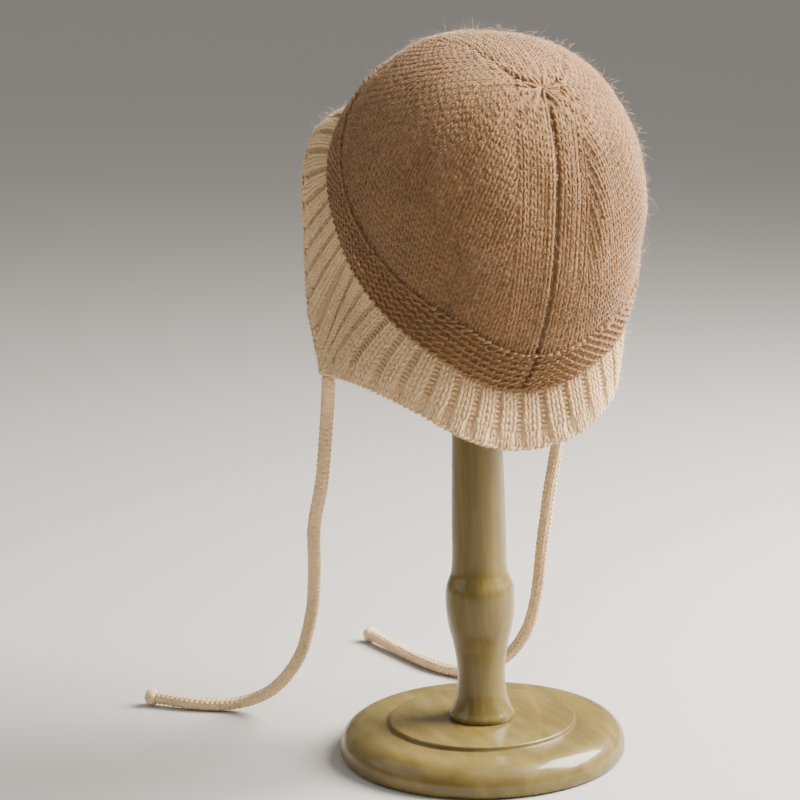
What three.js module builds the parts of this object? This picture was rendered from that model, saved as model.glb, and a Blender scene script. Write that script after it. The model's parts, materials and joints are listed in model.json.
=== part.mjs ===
// Knit earflap hat with two ties, on a turned wooden stand.
//
// Millimetres, +Z up. The origin is the centre of the base's underside, on the post's axis.
// The front of the hat faces -Y, its back +Y and the wearer's left +X.

import * as THREE from 'three';
import { mergeVertices } from 'three/addons/utils/BufferGeometryUtils.js';

const { cos, sin, abs, exp, PI } = Math;
const rad = THREE.MathUtils.degToRad;
const { lerp, smoothstep } = THREE.MathUtils;

// Gap between pieces that are sewn, knitted or seated on each other
const seatGap = 0.3;

// The hat as a whole: where it sits on the post and how it leans there
const hatCentre = new THREE.Vector3(-0.2, 8.2, 314.2);
const hatLean = 4.8; // degrees, the top towards the wearer's right
const hatTurn = 1.4; // degrees, the back towards the wearer's left

// The filled crown: half sizes of a rounded egg, and how it is tipped
const crownHalfWidth = 86.9;
const crownHalfDepth = 94.7;
const crownHalfHeight = 107.9;
const crownFullness = 2.32; // 2 is an ellipsoid, more is boxier
const crownPitch = 2.4; // degrees, the egg's own tip
const crownAxisTip = 40; // degrees, from upright back to the gather
const knitWall = 3.5;
const gatherSpread = 0.18; // share of the crown that the gathers fan over
const gatherFolds = 12;
const gatherDepth = 0.7;
const gatherDimple = 1.2;
const gatherDimpleSpread = 0.054; // share of the crown
const crownDrawIn = 2.6; // how far the band draws the crown in
const crownDrawFrom = 0.68; // share of the crown where that starts
const crownArc = 1.7; // mm along the crown's surface in a degree down

// Seams of the crown: around is degrees from the back centre towards the wearer's left
const frontSeam = 152;
const crownSeams = [
  { around: 0, depth: 1.5, halfWidth: 1.9 },
  { around: frontSeam, depth: 1.1, halfWidth: 1.9 },
  { around: -frontSeam, depth: 1.1, halfWidth: 1.9 },
];
const frontSeamSwing = 60; // degrees that the front seams swing back near the gather
const frontSeamSwingReach = 0.18; // share of the crown over which they do
const seamFadeIn = 0.12; // share of the crown over which a seam deepens below the gather

// Lower edge of the crown: degrees down from the gather, for each direction around
const edgeStep = 30;
const edgeRows = [
  { around: 0, down: 101.6 },
  { around: 30, down: 94.7 },
  { around: 60, down: 93.4 },
  { around: 90, down: 92.6 },
  { around: 120, down: 89.1 },
  { around: 150, down: 80.8 },
  { around: 180, down: 80.2 },
];

// Garter band above the edge
const bandHeight = 13.6; // degrees of the crown's arc, about 23 mm
const bandRidges = 6;
const bandProud = 0.9;
const bandRidgeHeight = 0.7;
const bandLetOut = 0.6; // share of the crown's draw-in that the band's lower edge gets back

// Ribbed border with its ear flaps. Each row is where the rib that leaves the crown's edge
// at around reaches the border's rim: side, back and up from the hat's centre. Upright is the
// share of the rib's length over which it turns square to the rim.
const rimRows = [
  { around: 0, side: 0, back: 68, up: -115.5, upright: 0.3 },
  { around: 13, side: 31, back: 69, up: -109, upright: 0.3 },
  { around: 28, side: 57, back: 57.5, up: -96, upright: 0.28 },
  { around: 42, side: 76, back: 33.5, up: -87, upright: 0.25 },
  { around: 51.5, side: 85, back: 8.5, up: -84.5, upright: 0.2 },
  { around: 58, side: 83.5, back: -17, up: -87, upright: 0.16 },
  { around: 65, side: 78, back: -38, up: -89, upright: 0.11 },
  { around: 72, side: 71.5, back: -58, up: -86.5, upright: 0.06 },
  { around: 79, side: 74.5, back: -69, up: -62, upright: 0.05 },
  { around: 92, side: 77.5, back: -71, up: -34, upright: 0.06 },
  { around: 106.5, side: 79.5, back: -72, up: -8, upright: 0.08 },
  { around: 116.5, side: 80, back: -76, up: 14, upright: 0.1 },
  { around: 127, side: 73, back: -88, up: 35, upright: 0.15 },
  { around: 139, side: 60.5, back: -97.5, up: 49.5, upright: 0.25 },
  { around: 158, side: 31, back: -105, up: 57.5, upright: 0.35 },
  { around: 180, side: 0, back: -108, up: 60, upright: 0.35 },
];
const ribCount = 52;
const ribDepth = 1.9; // of the purl groove between two ribs
const ribCrest = 0.5; // height of a rib's middle
const grooveSpread = 0.17; // share of a rib from the groove's middle to its side
const rimFlattening = 0.6; // share of the relief that is left at the bound-off rim
const rimFlattenFrom = 0.8; // share of the border where that starts
const ribWall = 3.6;
const borderInset = 1.3; // the border's top lies this far under the band's face
const borderInsetReach = 0.4; // share of the border over which it does
const borderTop = 0.012; // share of the border left open as a gap under the band

// Facets of the soft pieces
const crownSteps = 48;
const seamStations = [-2.4, -1.2, 0, 1.2, 2.4]; // degrees to the sides of each seam
const crownRows = 11;
const crownRowCrowding = 1.25; // above 1 the rows lie closer towards the gather
const crownLiningRows = 7;
const bandSteps = 54;
const ribSteps = 5; // around one rib, starting in the groove
const ribRows = 5;
const farthestShare = 0.996; // normals are taken this far down a surface at most

// Turned stand
const baseRadius = 84;
const baseHeight = 19;
const baseFootRound = 4;
const baseTopRound = 13;
const baseStepRadius = 55;
const baseStepRise = 2.6;
const baseStepRound = 1.2;
const baseSegments = 48;
const postSegments = 22;
// The post's turning: height above the floor and radius
const postRows = [
  { height: 22, radius: 19 },
  { height: 24, radius: 19.2 },
  { height: 28, radius: 17.4 },
  { height: 36, radius: 14.9 },
  { height: 46, radius: 14 },
  { height: 55, radius: 14.3 },
  { height: 68, radius: 16.4 },
  { height: 80, radius: 19.1 },
  { height: 92, radius: 20.3 },
  { height: 101, radius: 19.8 },
  { height: 107, radius: 17.8 },
  { height: 111, radius: 16.6 },
  { height: 150, radius: 15.6 },
  { height: 190, radius: 14.6 },
];
const postTopRadius = 14.2;

// Ties: knitted cords that hang from the flaps and lie on the floor. Each route starts
// under the rim and is a list of hand-placed points (x, y, z).
const tieRadius = 4.1;
const tieSides = 8;
const tieSteps = 26;
const tieSeat = 1.0; // from the rim down to the tie's end
const tieLead = 4; // the tie leaves the rim straight down over this length
const tieInset = 3; // from the border's face in to the tie's middle
const leftTieAround = 58.7; // where it leaves the rim
const leftTieRoute = [
  [82.5, -27, 205],
  [84, -34, 166],
  [85, -45, 138],
  [80.5, -58, 108],
  [77, -74, 76],
  [79, -93, 43],
  [88, -116, 18],
  [99.5, -132.5, 7.5],
  [112.5, -142, 4.4],
  [127, -152.5, 4.4],
  [145, -171, 5.4],
];
const rightTieAround = -65.9;
const rightTieRoute = [
  [-71.5, -35, 183],
  [-70.3, -46, 142],
  [-71, -58, 104],
  [-75, -76, 63],
  [-74.5, -90, 38],
  [-68, -105, 19],
  [-57.5, -120, 8.2],
  [-46, -136, 4.4],
  [-38.5, -155, 4.4],
  [-33.5, -187, 4.4],
  [-28.5, -229, 5.4],
];
// The small knob at a tie's end: distance along it and radius
const knobRows = [
  { along: 0, radius: 3.6 },
  { along: 1.2, radius: 4.9 },
  { along: 3.6, radius: 5.3 },
  { along: 6, radius: 4.7 },
  { along: 7.6, radius: 2.9 },
];
const knobLength = 8.2;
const knobSegments = 10;

// Materials
const materials = {
  brownKnit: new THREE.MeshStandardMaterial({ color: 0x9a7350, roughness: 0.95, metalness: 0 }),
  creamKnit: new THREE.MeshStandardMaterial({ color: 0xd2b68e, roughness: 0.95, metalness: 0 }),
  varnishedWood: new THREE.MeshStandardMaterial({ color: 0x857345, roughness: 0.4, metalness: 0 }),
};

// Surfaces of the hat, each a function from (around in degrees, a share down) to a point

function catmullRom(a, b, c, d, t) {
  return b + 0.5 * t * (c - a + t * (2 * a - 5 * b + 4 * c - d + t * (3 * (b - c) + d - a)));
}

function edgeDown(around) {
  const place = abs(THREE.MathUtils.euclideanModulo(around + 180, 360) - 180) / edgeStep;
  const last = edgeRows.length - 1;
  const index = Math.min(Math.floor(place), last - 1);
  const down = (i) => edgeRows[i < 0 ? -i : i > last ? 2 * last - i : i].down;
  return catmullRom(down(index - 1), down(index), down(index + 1), down(index + 2), place - index);
}

function crownRadius(direction) {
  const pitch = rad(crownPitch);
  const y = direction.y * cos(pitch) - direction.z * sin(pitch);
  const z = direction.y * sin(pitch) + direction.z * cos(pitch);
  const sum = abs(direction.x / crownHalfWidth) ** crownFullness
    + abs(y / crownHalfDepth) ** crownFullness
    + abs(z / crownHalfHeight) ** crownFullness;
  return sum ** (-1 / crownFullness);
}

function crownSurface(around, down) {
  const tip = rad(crownAxisTip);
  const axis = new THREE.Vector3(0, sin(tip), cos(tip));
  const backward = new THREE.Vector3(0, cos(tip), -sin(tip));
  const leftward = new THREE.Vector3(1, 0, 0);
  const direction = axis.multiplyScalar(cos(rad(down)))
    .addScaledVector(backward, sin(rad(down)) * cos(rad(around)))
    .addScaledVector(leftward, sin(rad(down)) * sin(rad(around)));
  return direction.multiplyScalar(crownRadius(direction));
}

// The front seams leave the gather sideways, so the crown's stations near it swing with them
function swung(around, share) {
  const shift = frontSeamSwing * exp(-share / frontSeamSwingReach);
  const a = abs(around);
  const moved = a < frontSeam
    ? (a * (frontSeam - shift)) / frontSeam
    : 180 - ((180 - a) * (180 - frontSeam + shift)) / (180 - frontSeam);
  return around < 0 ? -moved : moved;
}

// The rim runs through its rows on the left and, mirrored, on the right
const rimPoints = [
  ...rimRows.slice(1, -1).reverse().map((row) => new THREE.Vector3(-row.side, row.back, row.up)),
  ...rimRows.map((row) => new THREE.Vector3(row.side, row.back, row.up)),
];
const rimAround = [
  ...rimRows.slice(1, -1).reverse().map((row) => -row.around),
  ...rimRows.map((row) => row.around),
];
const rimUpright = [
  ...rimRows.slice(1, -1).reverse().map((row) => row.upright),
  ...rimRows.map((row) => row.upright),
];
const rimCurve = new THREE.CatmullRomCurve3(rimPoints, true, 'centripetal');

function rimShare(around) {
  const count = rimAround.length;
  const angle = THREE.MathUtils.euclideanModulo(around - rimAround[0], 360) + rimAround[0];
  let index = count - 1;
  while (index > 0 && rimAround[index] > angle) {
    index -= 1;
  }
  const next = index + 1 < count ? rimAround[index + 1] : rimAround[0] + 360;
  return (index + (angle - rimAround[index]) / (next - rimAround[index])) / count;
}

function uprightAt(rimPlace) {
  const count = rimUpright.length;
  const index = Math.floor(rimPlace * count) % count;
  return lerp(rimUpright[index], rimUpright[(index + 1) % count], rimPlace * count - index);
}

function ribSurface(around, share) {
  const rimPlace = rimShare(around);
  const top = crownSurface(around, edgeDown(around));
  const rim = rimCurve.getPoint(rimPlace);
  const along = rimCurve.getTangent(rimPlace);
  const slant = top.clone().sub(rim);
  const square = slant.clone().addScaledVector(along, -slant.dot(along)).normalize();
  const turned = uprightAt(rimPlace);
  const bend = rim.clone().addScaledVector(square, slant.length() * turned)
    .addScaledVector(slant, 0.5 * (0.5 - turned));
  return top.multiplyScalar((1 - share) ** 2)
    .addScaledVector(bend, 2 * share * (1 - share))
    .addScaledVector(rim, share ** 2);
}

// A point of a surface moved outwards from the hat by a height. The nudges are the steps to
// each side, in degrees around and in the surface's own measure down, that give its slope.
const crownNudge = 0.02;
const ribNudge = 0.003;
const aroundNudge = 0.5;

function raised(surface, around, along, height, nudge) {
  const point = surface(around, along);
  const acrossStep = surface(around + aroundNudge, along).sub(surface(around - aroundNudge, along));
  const downStep = surface(around, along + nudge).sub(surface(around, along - nudge));
  const outward = downStep.cross(acrossStep).normalize();
  if (outward.dot(point) < 0) {
    outward.negate();
  }
  return point.addScaledVector(outward, height);
}

function placed(point) {
  const turned = point.applyAxisAngle(new THREE.Vector3(0, 1, 0), -rad(hatLean));
  return turned.applyAxisAngle(new THREE.Vector3(0, 0, 1), -rad(hatTurn)).add(hatCentre);
}

// Closed solids from rings of points. The rings run around the hat, all with the same count.

function ringFaces(upper, lower, count, faces) {
  for (let i = 0; i < count; i += 1) {
    const next = (i + 1) % count;
    faces.push(upper + i, lower + i, lower + next, upper + i, lower + next, upper + next);
  }
}

function outwardSolid(points, faces) {
  let volume = 0;
  for (let i = 0; i < faces.length; i += 3) {
    const [a, b, c] = [points[faces[i]], points[faces[i + 1]], points[faces[i + 2]]];
    volume += a.dot(new THREE.Vector3().crossVectors(b, c));
  }
  if (volume < 0) {
    faces.reverse();
  }
  const geometry = new THREE.BufferGeometry().setFromPoints(points);
  geometry.setIndex(faces);
  geometry.computeVertexNormals();
  return geometry;
}

// A band closed in both directions: the rings go down the outside and up the inside
function bandSolid(rings) {
  const count = rings[0].length;
  const faces = [];
  rings.forEach((ring, k) => {
    ringFaces(k * count, ((k + 1) % rings.length) * count, count, faces);
  });
  return outwardSolid(rings.flat(), faces);
}

// A dome: from the outer pole down the outside and up the inside to the inner pole
function domeSolid(outerPole, rings, innerPole) {
  const count = rings[0].length;
  const points = [...rings.flat(), outerPole, innerPole];
  const faces = [];
  const last = (rings.length - 1) * count;
  for (let k = 0; k < rings.length - 1; k += 1) {
    ringFaces(k * count, (k + 1) * count, count, faces);
  }
  for (let i = 0; i < count; i += 1) {
    const next = (i + 1) % count;
    faces.push(points.length - 2, i, next);
    faces.push(points.length - 1, last + next, last + i);
  }
  return outwardSolid(points, faces);
}

function lathedSolid(profile, segments) {
  const points = profile.map(([radius, height]) => new THREE.Vector2(radius, height));
  const lathe = new THREE.LatheGeometry(points, segments).rotateX(PI / 2);
  lathe.deleteAttribute('normal');
  lathe.deleteAttribute('uv');
  const merged = mergeVertices(lathe, 1e-4);
  const vertices = [];
  for (let i = 0; i < merged.attributes.position.count; i += 1) {
    vertices.push(new THREE.Vector3().fromBufferAttribute(merged.attributes.position, i));
  }
  const faces = [];
  const index = Array.from(merged.index.array);
  for (let i = 0; i < index.length; i += 3) {
    const corners = index.slice(i, i + 3);
    if (new Set(corners).size === 3) {
      faces.push(...corners);
    }
  }
  return outwardSolid(vertices, faces);
}

// Crown: a dome of fine knit with three seams and a gathered top

function crownStations() {
  const angles = [];
  for (let i = 0; i < crownSteps; i += 1) {
    angles.push((i * 360) / crownSteps - 180);
  }
  const widest = Math.max(...seamStations);
  for (const seam of crownSeams) {
    const kept = angles.filter((angle) => abs(angle - seam.around) > widest);
    const added = seamStations.map((station) => seam.around + station);
    angles.splice(0, angles.length, ...kept, ...added);
  }
  return angles.sort((a, b) => a - b);
}

function crownRelief(around, share) {
  const belowGather = smoothstep(share, 0, seamFadeIn);
  const fan = belowGather * exp(-((share / gatherSpread) ** 2));
  let height = gatherDepth * fan * cos(gatherFolds * rad(around));
  height -= gatherDimple * exp(-((share / gatherDimpleSpread) ** 2));
  height -= crownDrawIn * smoothstep(share, crownDrawFrom, 1);
  for (const seam of crownSeams) {
    const sideways = crownHalfWidth * rad(around - seam.around) * sin(share * PI / 2);
    height -= seam.depth * belowGather * exp(-((sideways / seam.halfWidth) ** 2));
  }
  return height;
}

function crownSolid() {
  const angles = crownStations();
  const lowest = (around) => edgeDown(around) - bandHeight - seatGap / crownArc;
  const ring = (share, inside) => angles.map((around) => {
    const drawn = crownDrawIn * smoothstep(share, crownDrawFrom, 1);
    const height = inside ? -knitWall - drawn : crownRelief(around, share);
    const at = swung(around, share);
    return placed(raised(crownSurface, at, lowest(at) * share, height, crownNudge));
  });
  const rings = [];
  for (let k = 1; k <= crownRows; k += 1) {
    rings.push(ring((k / crownRows) ** crownRowCrowding, false));
  }
  for (let k = crownLiningRows; k >= 1; k -= 1) {
    rings.push(ring(k / crownLiningRows, true));
  }
  const pole = crownSurface(0, 0);
  const outward = pole.clone().normalize();
  const outerPole = placed(pole.clone().addScaledVector(outward, -gatherDimple));
  const innerPole = placed(pole.clone().addScaledVector(outward, -knitWall));
  return domeSolid(outerPole, rings, innerPole);
}

// Garter band: ridges that run around the head

function bandSolidOfGarter() {
  const angles = Array.from({ length: bandSteps }, (_, i) => (i * 360) / bandSteps);
  const ring = (share, height) => angles.map((around) => {
    const down = edgeDown(around) - bandHeight * (1 - share);
    const drawn = crownDrawIn * (1 - bandLetOut * share);
    return placed(raised(crownSurface, around, down, height - drawn, crownNudge));
  });
  const rings = [];
  for (let k = 0; k <= 2 * bandRidges; k += 1) {
    const ridge = k % 2 === 1 ? bandRidgeHeight : -bandRidgeHeight;
    rings.push(ring(k / (2 * bandRidges), bandProud + ridge));
  }
  rings.push(ring(1, -knitWall), ring(0, -knitWall));
  return bandSolid(rings);
}

// Ribbed border: ribs fan from the band and turn upright to the rim

function ribRelief(place) {
  const fromGroove = Math.min(place, 1 - place) / grooveSpread;
  return ribCrest - (ribDepth + ribCrest) * exp(-(fromGroove ** 2));
}

function borderSolid() {
  const steps = ribCount * ribSteps;
  const angles = Array.from({ length: steps }, (_, i) => (i * 360) / steps);
  const ring = (share, inside) => angles.map((around, i) => {
    const relief = ribRelief((i % ribSteps) / ribSteps);
    const left = lerp(1, rimFlattening, smoothstep(share, rimFlattenFrom, 1));
    const inset = borderInset * (1 - smoothstep(share, 0, borderInsetReach));
    const height = (inside ? -ribWall : relief * left) - inset;
    return placed(raised(ribSurface, around, Math.min(share, farthestShare), height, ribNudge));
  });
  const rings = [];
  for (let k = 0; k <= ribRows; k += 1) {
    rings.push(ring(lerp(borderTop, 1, k / ribRows), false));
  }
  rings.push(ring(1, true), ring(0.5, true), ring(borderTop, true));
  return bandSolid(rings);
}

// Turned base: a disc with a full round edge and a thin raised step

function baseProfile() {
  const profile = [[0, 0]];
  const arc = (radius, height, round, from, to, steps) => {
    for (let i = 0; i <= steps; i += 1) {
      const angle = rad(lerp(from, to, i / steps));
      profile.push([radius + round * cos(angle), height + round * sin(angle)]);
    }
  };
  arc(baseRadius - baseFootRound, baseFootRound, baseFootRound, -90, 0, 3);
  arc(baseRadius - baseTopRound, baseHeight - baseTopRound, baseTopRound, 0, 90, 6);
  const top = baseHeight + baseStepRise;
  profile.push([baseStepRadius, baseHeight]);
  arc(baseStepRadius - baseStepRound, top - baseStepRound, baseStepRound, 0, 90, 2);
  profile.push([0, top]);
  return profile;
}

// Turned post: it goes on inside the hat and ends in a round top that the crown rests on

const postDomeSteps = 6;

function postProfile(crown) {
  const topCentre = heightUnder(crown) - seatGap - postTopRadius;
  const profile = [[0, baseHeight + baseStepRise + seatGap]];
  for (const { height, radius } of postRows) {
    profile.push([radius, height]);
  }
  for (let i = 0; i < postDomeSteps; i += 1) {
    const angle = (PI / 2) * (i / postDomeSteps);
    profile.push([postTopRadius * cos(angle), topCentre + postTopRadius * sin(angle)]);
  }
  profile.push([0, topCentre + postTopRadius]);
  return profile;
}

// Height of a round top that just touches the crown's lining from below
function heightUnder(crown) {
  const upward = new THREE.Vector3(0, 0, 1);
  let lowest = Infinity;
  for (let sideways = 0; sideways < postTopRadius; sideways += 1) {
    const drop = postTopRadius - (postTopRadius ** 2 - sideways ** 2) ** 0.5;
    for (let angle = 0; angle < 360; angle += 10) {
      const from = new THREE.Vector3(sideways, 0, hatCentre.z).applyAxisAngle(upward, rad(angle));
      const [lining] = new THREE.Raycaster(from, upward).intersectObject(crown);
      lowest = Math.min(lowest, lining.point.z + drop);
    }
  }
  return lowest;
}

// Ties

function tieCurve(around, route) {
  const rim = placed(raised(ribSurface, around, farthestShare, -tieInset, ribNudge));
  const downward = new THREE.Vector3(0, 0, -1);
  const start = rim.addScaledVector(downward, tieSeat);
  const lead = start.clone().addScaledVector(downward, tieLead);
  const points = route.map(([x, y, z]) => new THREE.Vector3(x, y, z));
  return new THREE.CatmullRomCurve3([start, lead, ...points]);
}

function tieSolid(curve) {
  const corners = [];
  for (let i = 0; i < tieSides; i += 1) {
    const angle = (2 * PI * (i + 0.5)) / tieSides;
    corners.push(new THREE.Vector2(tieRadius * cos(angle), tieRadius * sin(angle)));
  }
  return new THREE.ExtrudeGeometry(new THREE.Shape(corners), {
    steps: tieSteps,
    bevelEnabled: false,
    extrudePath: curve,
  });
}

function knobSolid() {
  const rows = knobRows.map(({ along, radius }) => [radius, along]);
  return lathedSolid([[0, 0], ...rows, [0, knobLength]], knobSegments);
}

function knobAt(name, curve) {
  const mesh = piece(name, knobSolid(), materials.creamKnit);
  const forward = curve.getTangent(1);
  mesh.position.copy(curve.getPoint(1)).addScaledVector(forward, seatGap);
  mesh.quaternion.setFromUnitVectors(new THREE.Vector3(0, 0, 1), forward);
  return mesh;
}

function piece(name, geometry, material) {
  const mesh = new THREE.Mesh(geometry, material);
  mesh.name = name;
  return mesh;
}

const crown = piece('crown', crownSolid(), materials.brownKnit);
const hat = new THREE.Group();
hat.add(crown);
hat.add(piece('garter_band', bandSolidOfGarter(), materials.brownKnit));
hat.add(piece('rib_border', borderSolid(), materials.creamKnit));

const ties = new THREE.Group();
const tieRows = [
  { name: 'left_tie', around: leftTieAround, route: leftTieRoute },
  { name: 'right_tie', around: rightTieAround, route: rightTieRoute },
];
for (const { name, around, route } of tieRows) {
  const curve = tieCurve(around, route);
  ties.add(piece(name, tieSolid(curve), materials.creamKnit));
  ties.add(knobAt(`${name}_knob`, curve));
}

const stand = new THREE.Group();
stand.add(piece('stand_base', lathedSolid(baseProfile(), baseSegments), materials.varnishedWood));
stand.add(piece('stand_post', lathedSolid(postProfile(crown), postSegments), materials.varnishedWood));

const model = new THREE.Group();
model.add(hat, ties, stand);

export default model;
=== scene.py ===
"""A knit earflap hat with two ties, on a turned wooden stand.

The surfaces of the hat are worked out in millimetres, as functions of an angle around the head
and a share of the way down. Meshes are written in metres.
"""

import json
import math
from types import SimpleNamespace

import bpy
import numpy as np
from mathutils import Matrix, Vector

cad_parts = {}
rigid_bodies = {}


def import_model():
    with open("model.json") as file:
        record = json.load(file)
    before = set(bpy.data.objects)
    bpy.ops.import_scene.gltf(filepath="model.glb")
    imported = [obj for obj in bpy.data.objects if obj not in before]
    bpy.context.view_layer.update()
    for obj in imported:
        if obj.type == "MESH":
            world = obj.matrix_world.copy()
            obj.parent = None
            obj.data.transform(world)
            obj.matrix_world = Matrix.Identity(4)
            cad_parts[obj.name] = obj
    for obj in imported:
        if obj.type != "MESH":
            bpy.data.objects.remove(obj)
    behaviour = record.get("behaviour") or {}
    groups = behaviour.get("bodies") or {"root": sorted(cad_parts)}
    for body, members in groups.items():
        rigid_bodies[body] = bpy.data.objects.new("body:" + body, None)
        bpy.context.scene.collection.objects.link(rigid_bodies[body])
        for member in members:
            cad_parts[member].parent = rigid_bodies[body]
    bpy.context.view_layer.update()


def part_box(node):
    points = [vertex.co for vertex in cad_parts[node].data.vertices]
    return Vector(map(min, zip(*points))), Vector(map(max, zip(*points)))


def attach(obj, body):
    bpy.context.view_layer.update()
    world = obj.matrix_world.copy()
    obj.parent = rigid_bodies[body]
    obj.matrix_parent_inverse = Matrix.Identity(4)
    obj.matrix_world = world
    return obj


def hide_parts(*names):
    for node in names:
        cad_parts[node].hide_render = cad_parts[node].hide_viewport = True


bl_info = {
    "name": "Knit Earflap Hat",
    "version": (1, 0, 0),
    "blender": (4, 5, 0),
    "location": "View3D > Sidebar > Hat",
    "description": "Makes a knit earflap hat with its ties, the stand that holds it and a plain stage",
    "category": "Add Mesh",
}

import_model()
METRES = 0.001

# The hat as a whole: where it sits on the post and how it leans there
HAT_CENTRE = np.array([-0.2, 8.2, 314.2])
HAT_LEAN = math.radians(4.8)
HAT_TURN = math.radians(1.4)
HAT_AXES = np.array(Matrix.Rotation(-HAT_TURN, 3, "Z") @ Matrix.Rotation(-HAT_LEAN, 3, "Y")).T

# The filled crown: half sizes of a rounded egg, and how it is tipped
CROWN_HALF = np.array([86.9, 94.7, 107.9])
CROWN_FULLNESS = 2.32
CROWN_PITCH = math.radians(2.4)
CROWN_AXIS_TIP = math.radians(40)
CROWN_AXES = np.array(
    [
        (1, 0, 0),
        (0, math.cos(CROWN_AXIS_TIP), -math.sin(CROWN_AXIS_TIP)),
        (0, math.sin(CROWN_AXIS_TIP), math.cos(CROWN_AXIS_TIP)),
    ]
)
CROWN_DRAW_IN = 2.6
CROWN_DRAW_FROM = 0.68
CROWN_ARC = 1.7  # mm along the crown's surface in a degree down
CROWN_ROWS = 64  # rows of points down the outside of the crown
LINING_ROWS = 12
KNIT_WALL = 3.5
SEAT_GAP = 0.3
FABRIC_SINK = 0.25  # how far the fabric lies under the stitches' places
STITCH_SINK = -0.55  # how far the stitches lie in the fabric
GATHER_SINK = -0.5  # how much deeper they lie towards the gather, where the wool is brushed smooth
GATHER_DIMPLE = 2.0
GATHER_RIPPLE = 0.6
GATHER_FOLDS = 15
CROWN_UNEVENNESS = 0.5
PLEATS = 11
PLEAT_SINK = 1.4
PLEAT_SIZE = (11, 5, 6)
SEAM_BARE_AND_SHADE = 0.55  # share of the nap that is missing along the crown's seams, and strength of the painted shade there
LINING_NAP = 0.1  # nap inside the hat

# Seams of the crown, in degrees from the back centre towards the wearer's left
FRONT_SEAM = 152
FRONT_SEAM_SWING = 60
FRONT_SEAM_SWING_REACH = 0.18
STRIP_WALES = 5  # columns that run beside the back seam, on each side
WALE_LEAN = 0.2  # where the straight column of a back panel lies: 0 by the back seam, 1 by the front
SEAM_ROOM = 3.0  # how far the columns stand back from the back seam's groove

# Ridges and grooves of the fabric: height, place beside the seam and width
BACK_GROOVE = -2.0
BACK_SEAM_ROWS = ((0.6, 2.7, 1.8), (-1.8, BACK_GROOVE, 2.1))
FRONT_SEAM_ROWS = ((-1.3, 0, 1.1), (0.3, 3, 1.6))
FOLD_ROWS = ((1.4, -28, 6), (-0.8, -16, 6))
FOLD_SLANT = 10
FOLD_STARTS = (0.12, 0.3)  # shares down over which the fold rises and dies away
FOLD_ENDS = (0.55, 0.8)

# Lower edge of the crown: degrees down from the gather, every 30 degrees around
EDGE_STEP = 30
EDGE_DOWN = np.array([101.6, 94.7, 93.4, 92.6, 89.1, 80.8, 80.2])

# Garter band above that edge
BAND_HEIGHT = 13.6
BAND_RIDGES = 6
BAND_PROUD = 0.9
BAND_LET_OUT = 0.6
BAND_SEAM = -1.2  # degrees from the back centre to the top of the band's seam
BAND_SEAM_SLANT = 1.9  # degrees it slants on its way down
BAND_SEAM_ROOM = 1.1  # how far the stitches stand back from it on either side
BAND_GROOVE = 2.6  # depth of its groove
BAND_GROOVE_WIDTH = 0.6  # in degrees, as the next one is
BAND_SEAM_BARE_AND_SHADE = 1.1  # how far from the seam the nap is missing and painted shade darkens the band
BAND_FLOOR = -3.1  # the deepest that the band's outer side goes
BAND_RIDGE = 0.7
BAND_FABRIC_SINK = 0.4
BAND_STITCH_HIGH = 5.4
# Inner side of the band: share down and depth. Two hidden lips close the gaps to its neighbours.
BAND_LINING = [
    (1, -1.8),
    (1.06, -2.6),
    (1.06, -3.3),
    (1, -KNIT_WALL),
    (0, -KNIT_WALL),
    (-0.06, -3.3),
    (-0.06, -2.9),
    (0, -2.6),
]

# Ribbed border: the rib that leaves the edge at an angle around, where it reaches the rim (side,
# back, up), and the share of its length over which it turns square to the rim
RIM_ROWS = [
    (0, (0, 68, -115.5), 0.3),
    (13, (31, 69, -109), 0.3),
    (28, (57, 57.5, -96), 0.28),
    (42, (76, 33.5, -87), 0.25),
    (51.5, (85, 8.5, -84.5), 0.2),
    (58, (83.5, -17, -87), 0.16),
    (65, (78, -38, -89), 0.11),
    (72, (71.5, -58, -86.5), 0.06),
    (79, (74.5, -69, -62), 0.05),
    (92, (77.5, -71, -34), 0.06),
    (106.5, (79.5, -72, -8), 0.08),
    (116.5, (80, -76, 14), 0.1),
    (127, (73, -88, 35), 0.15),
    (139, (60.5, -97.5, 49.5), 0.25),
    (158, (31, -105, 57.5), 0.35),
    (180, (0, -108, 60), 0.35),
]
RIB_COUNT = 52
RIB_WALL = 3.6
RIB_CREST = 0.5
RIB_BETWEEN = 0.35  # how far the fabric sinks between a rib's two columns
RIB_FLOOR = 0.6  # how far a groove's floor rises at the back
RIM_EDGE = 9.5  # height of the finer knitting along the rim
RIM_CHAIN = 0.985  # share down where the chain along the rim lies
BORDER_INSET = 1.3
BORDER_INSET_REACH = 0.4
BORDER_TOP = 0.012
BORDER_END = 0.994
BORDER_ROWS = 25
BORDER_POINTS = 10  # points across one rib
BORDER_FABRIC_SINK = 0.35
BORDER_LINING_NAP = 0.15
BACK_END = 35  # degrees from the back centre where the back of the border ends
FLAP_START = 80  # degrees where its flaps start
CHAIN_PITCH = 3.7
CHAIN_SIZE = (4.6, 3.8, 4.2)

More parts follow.
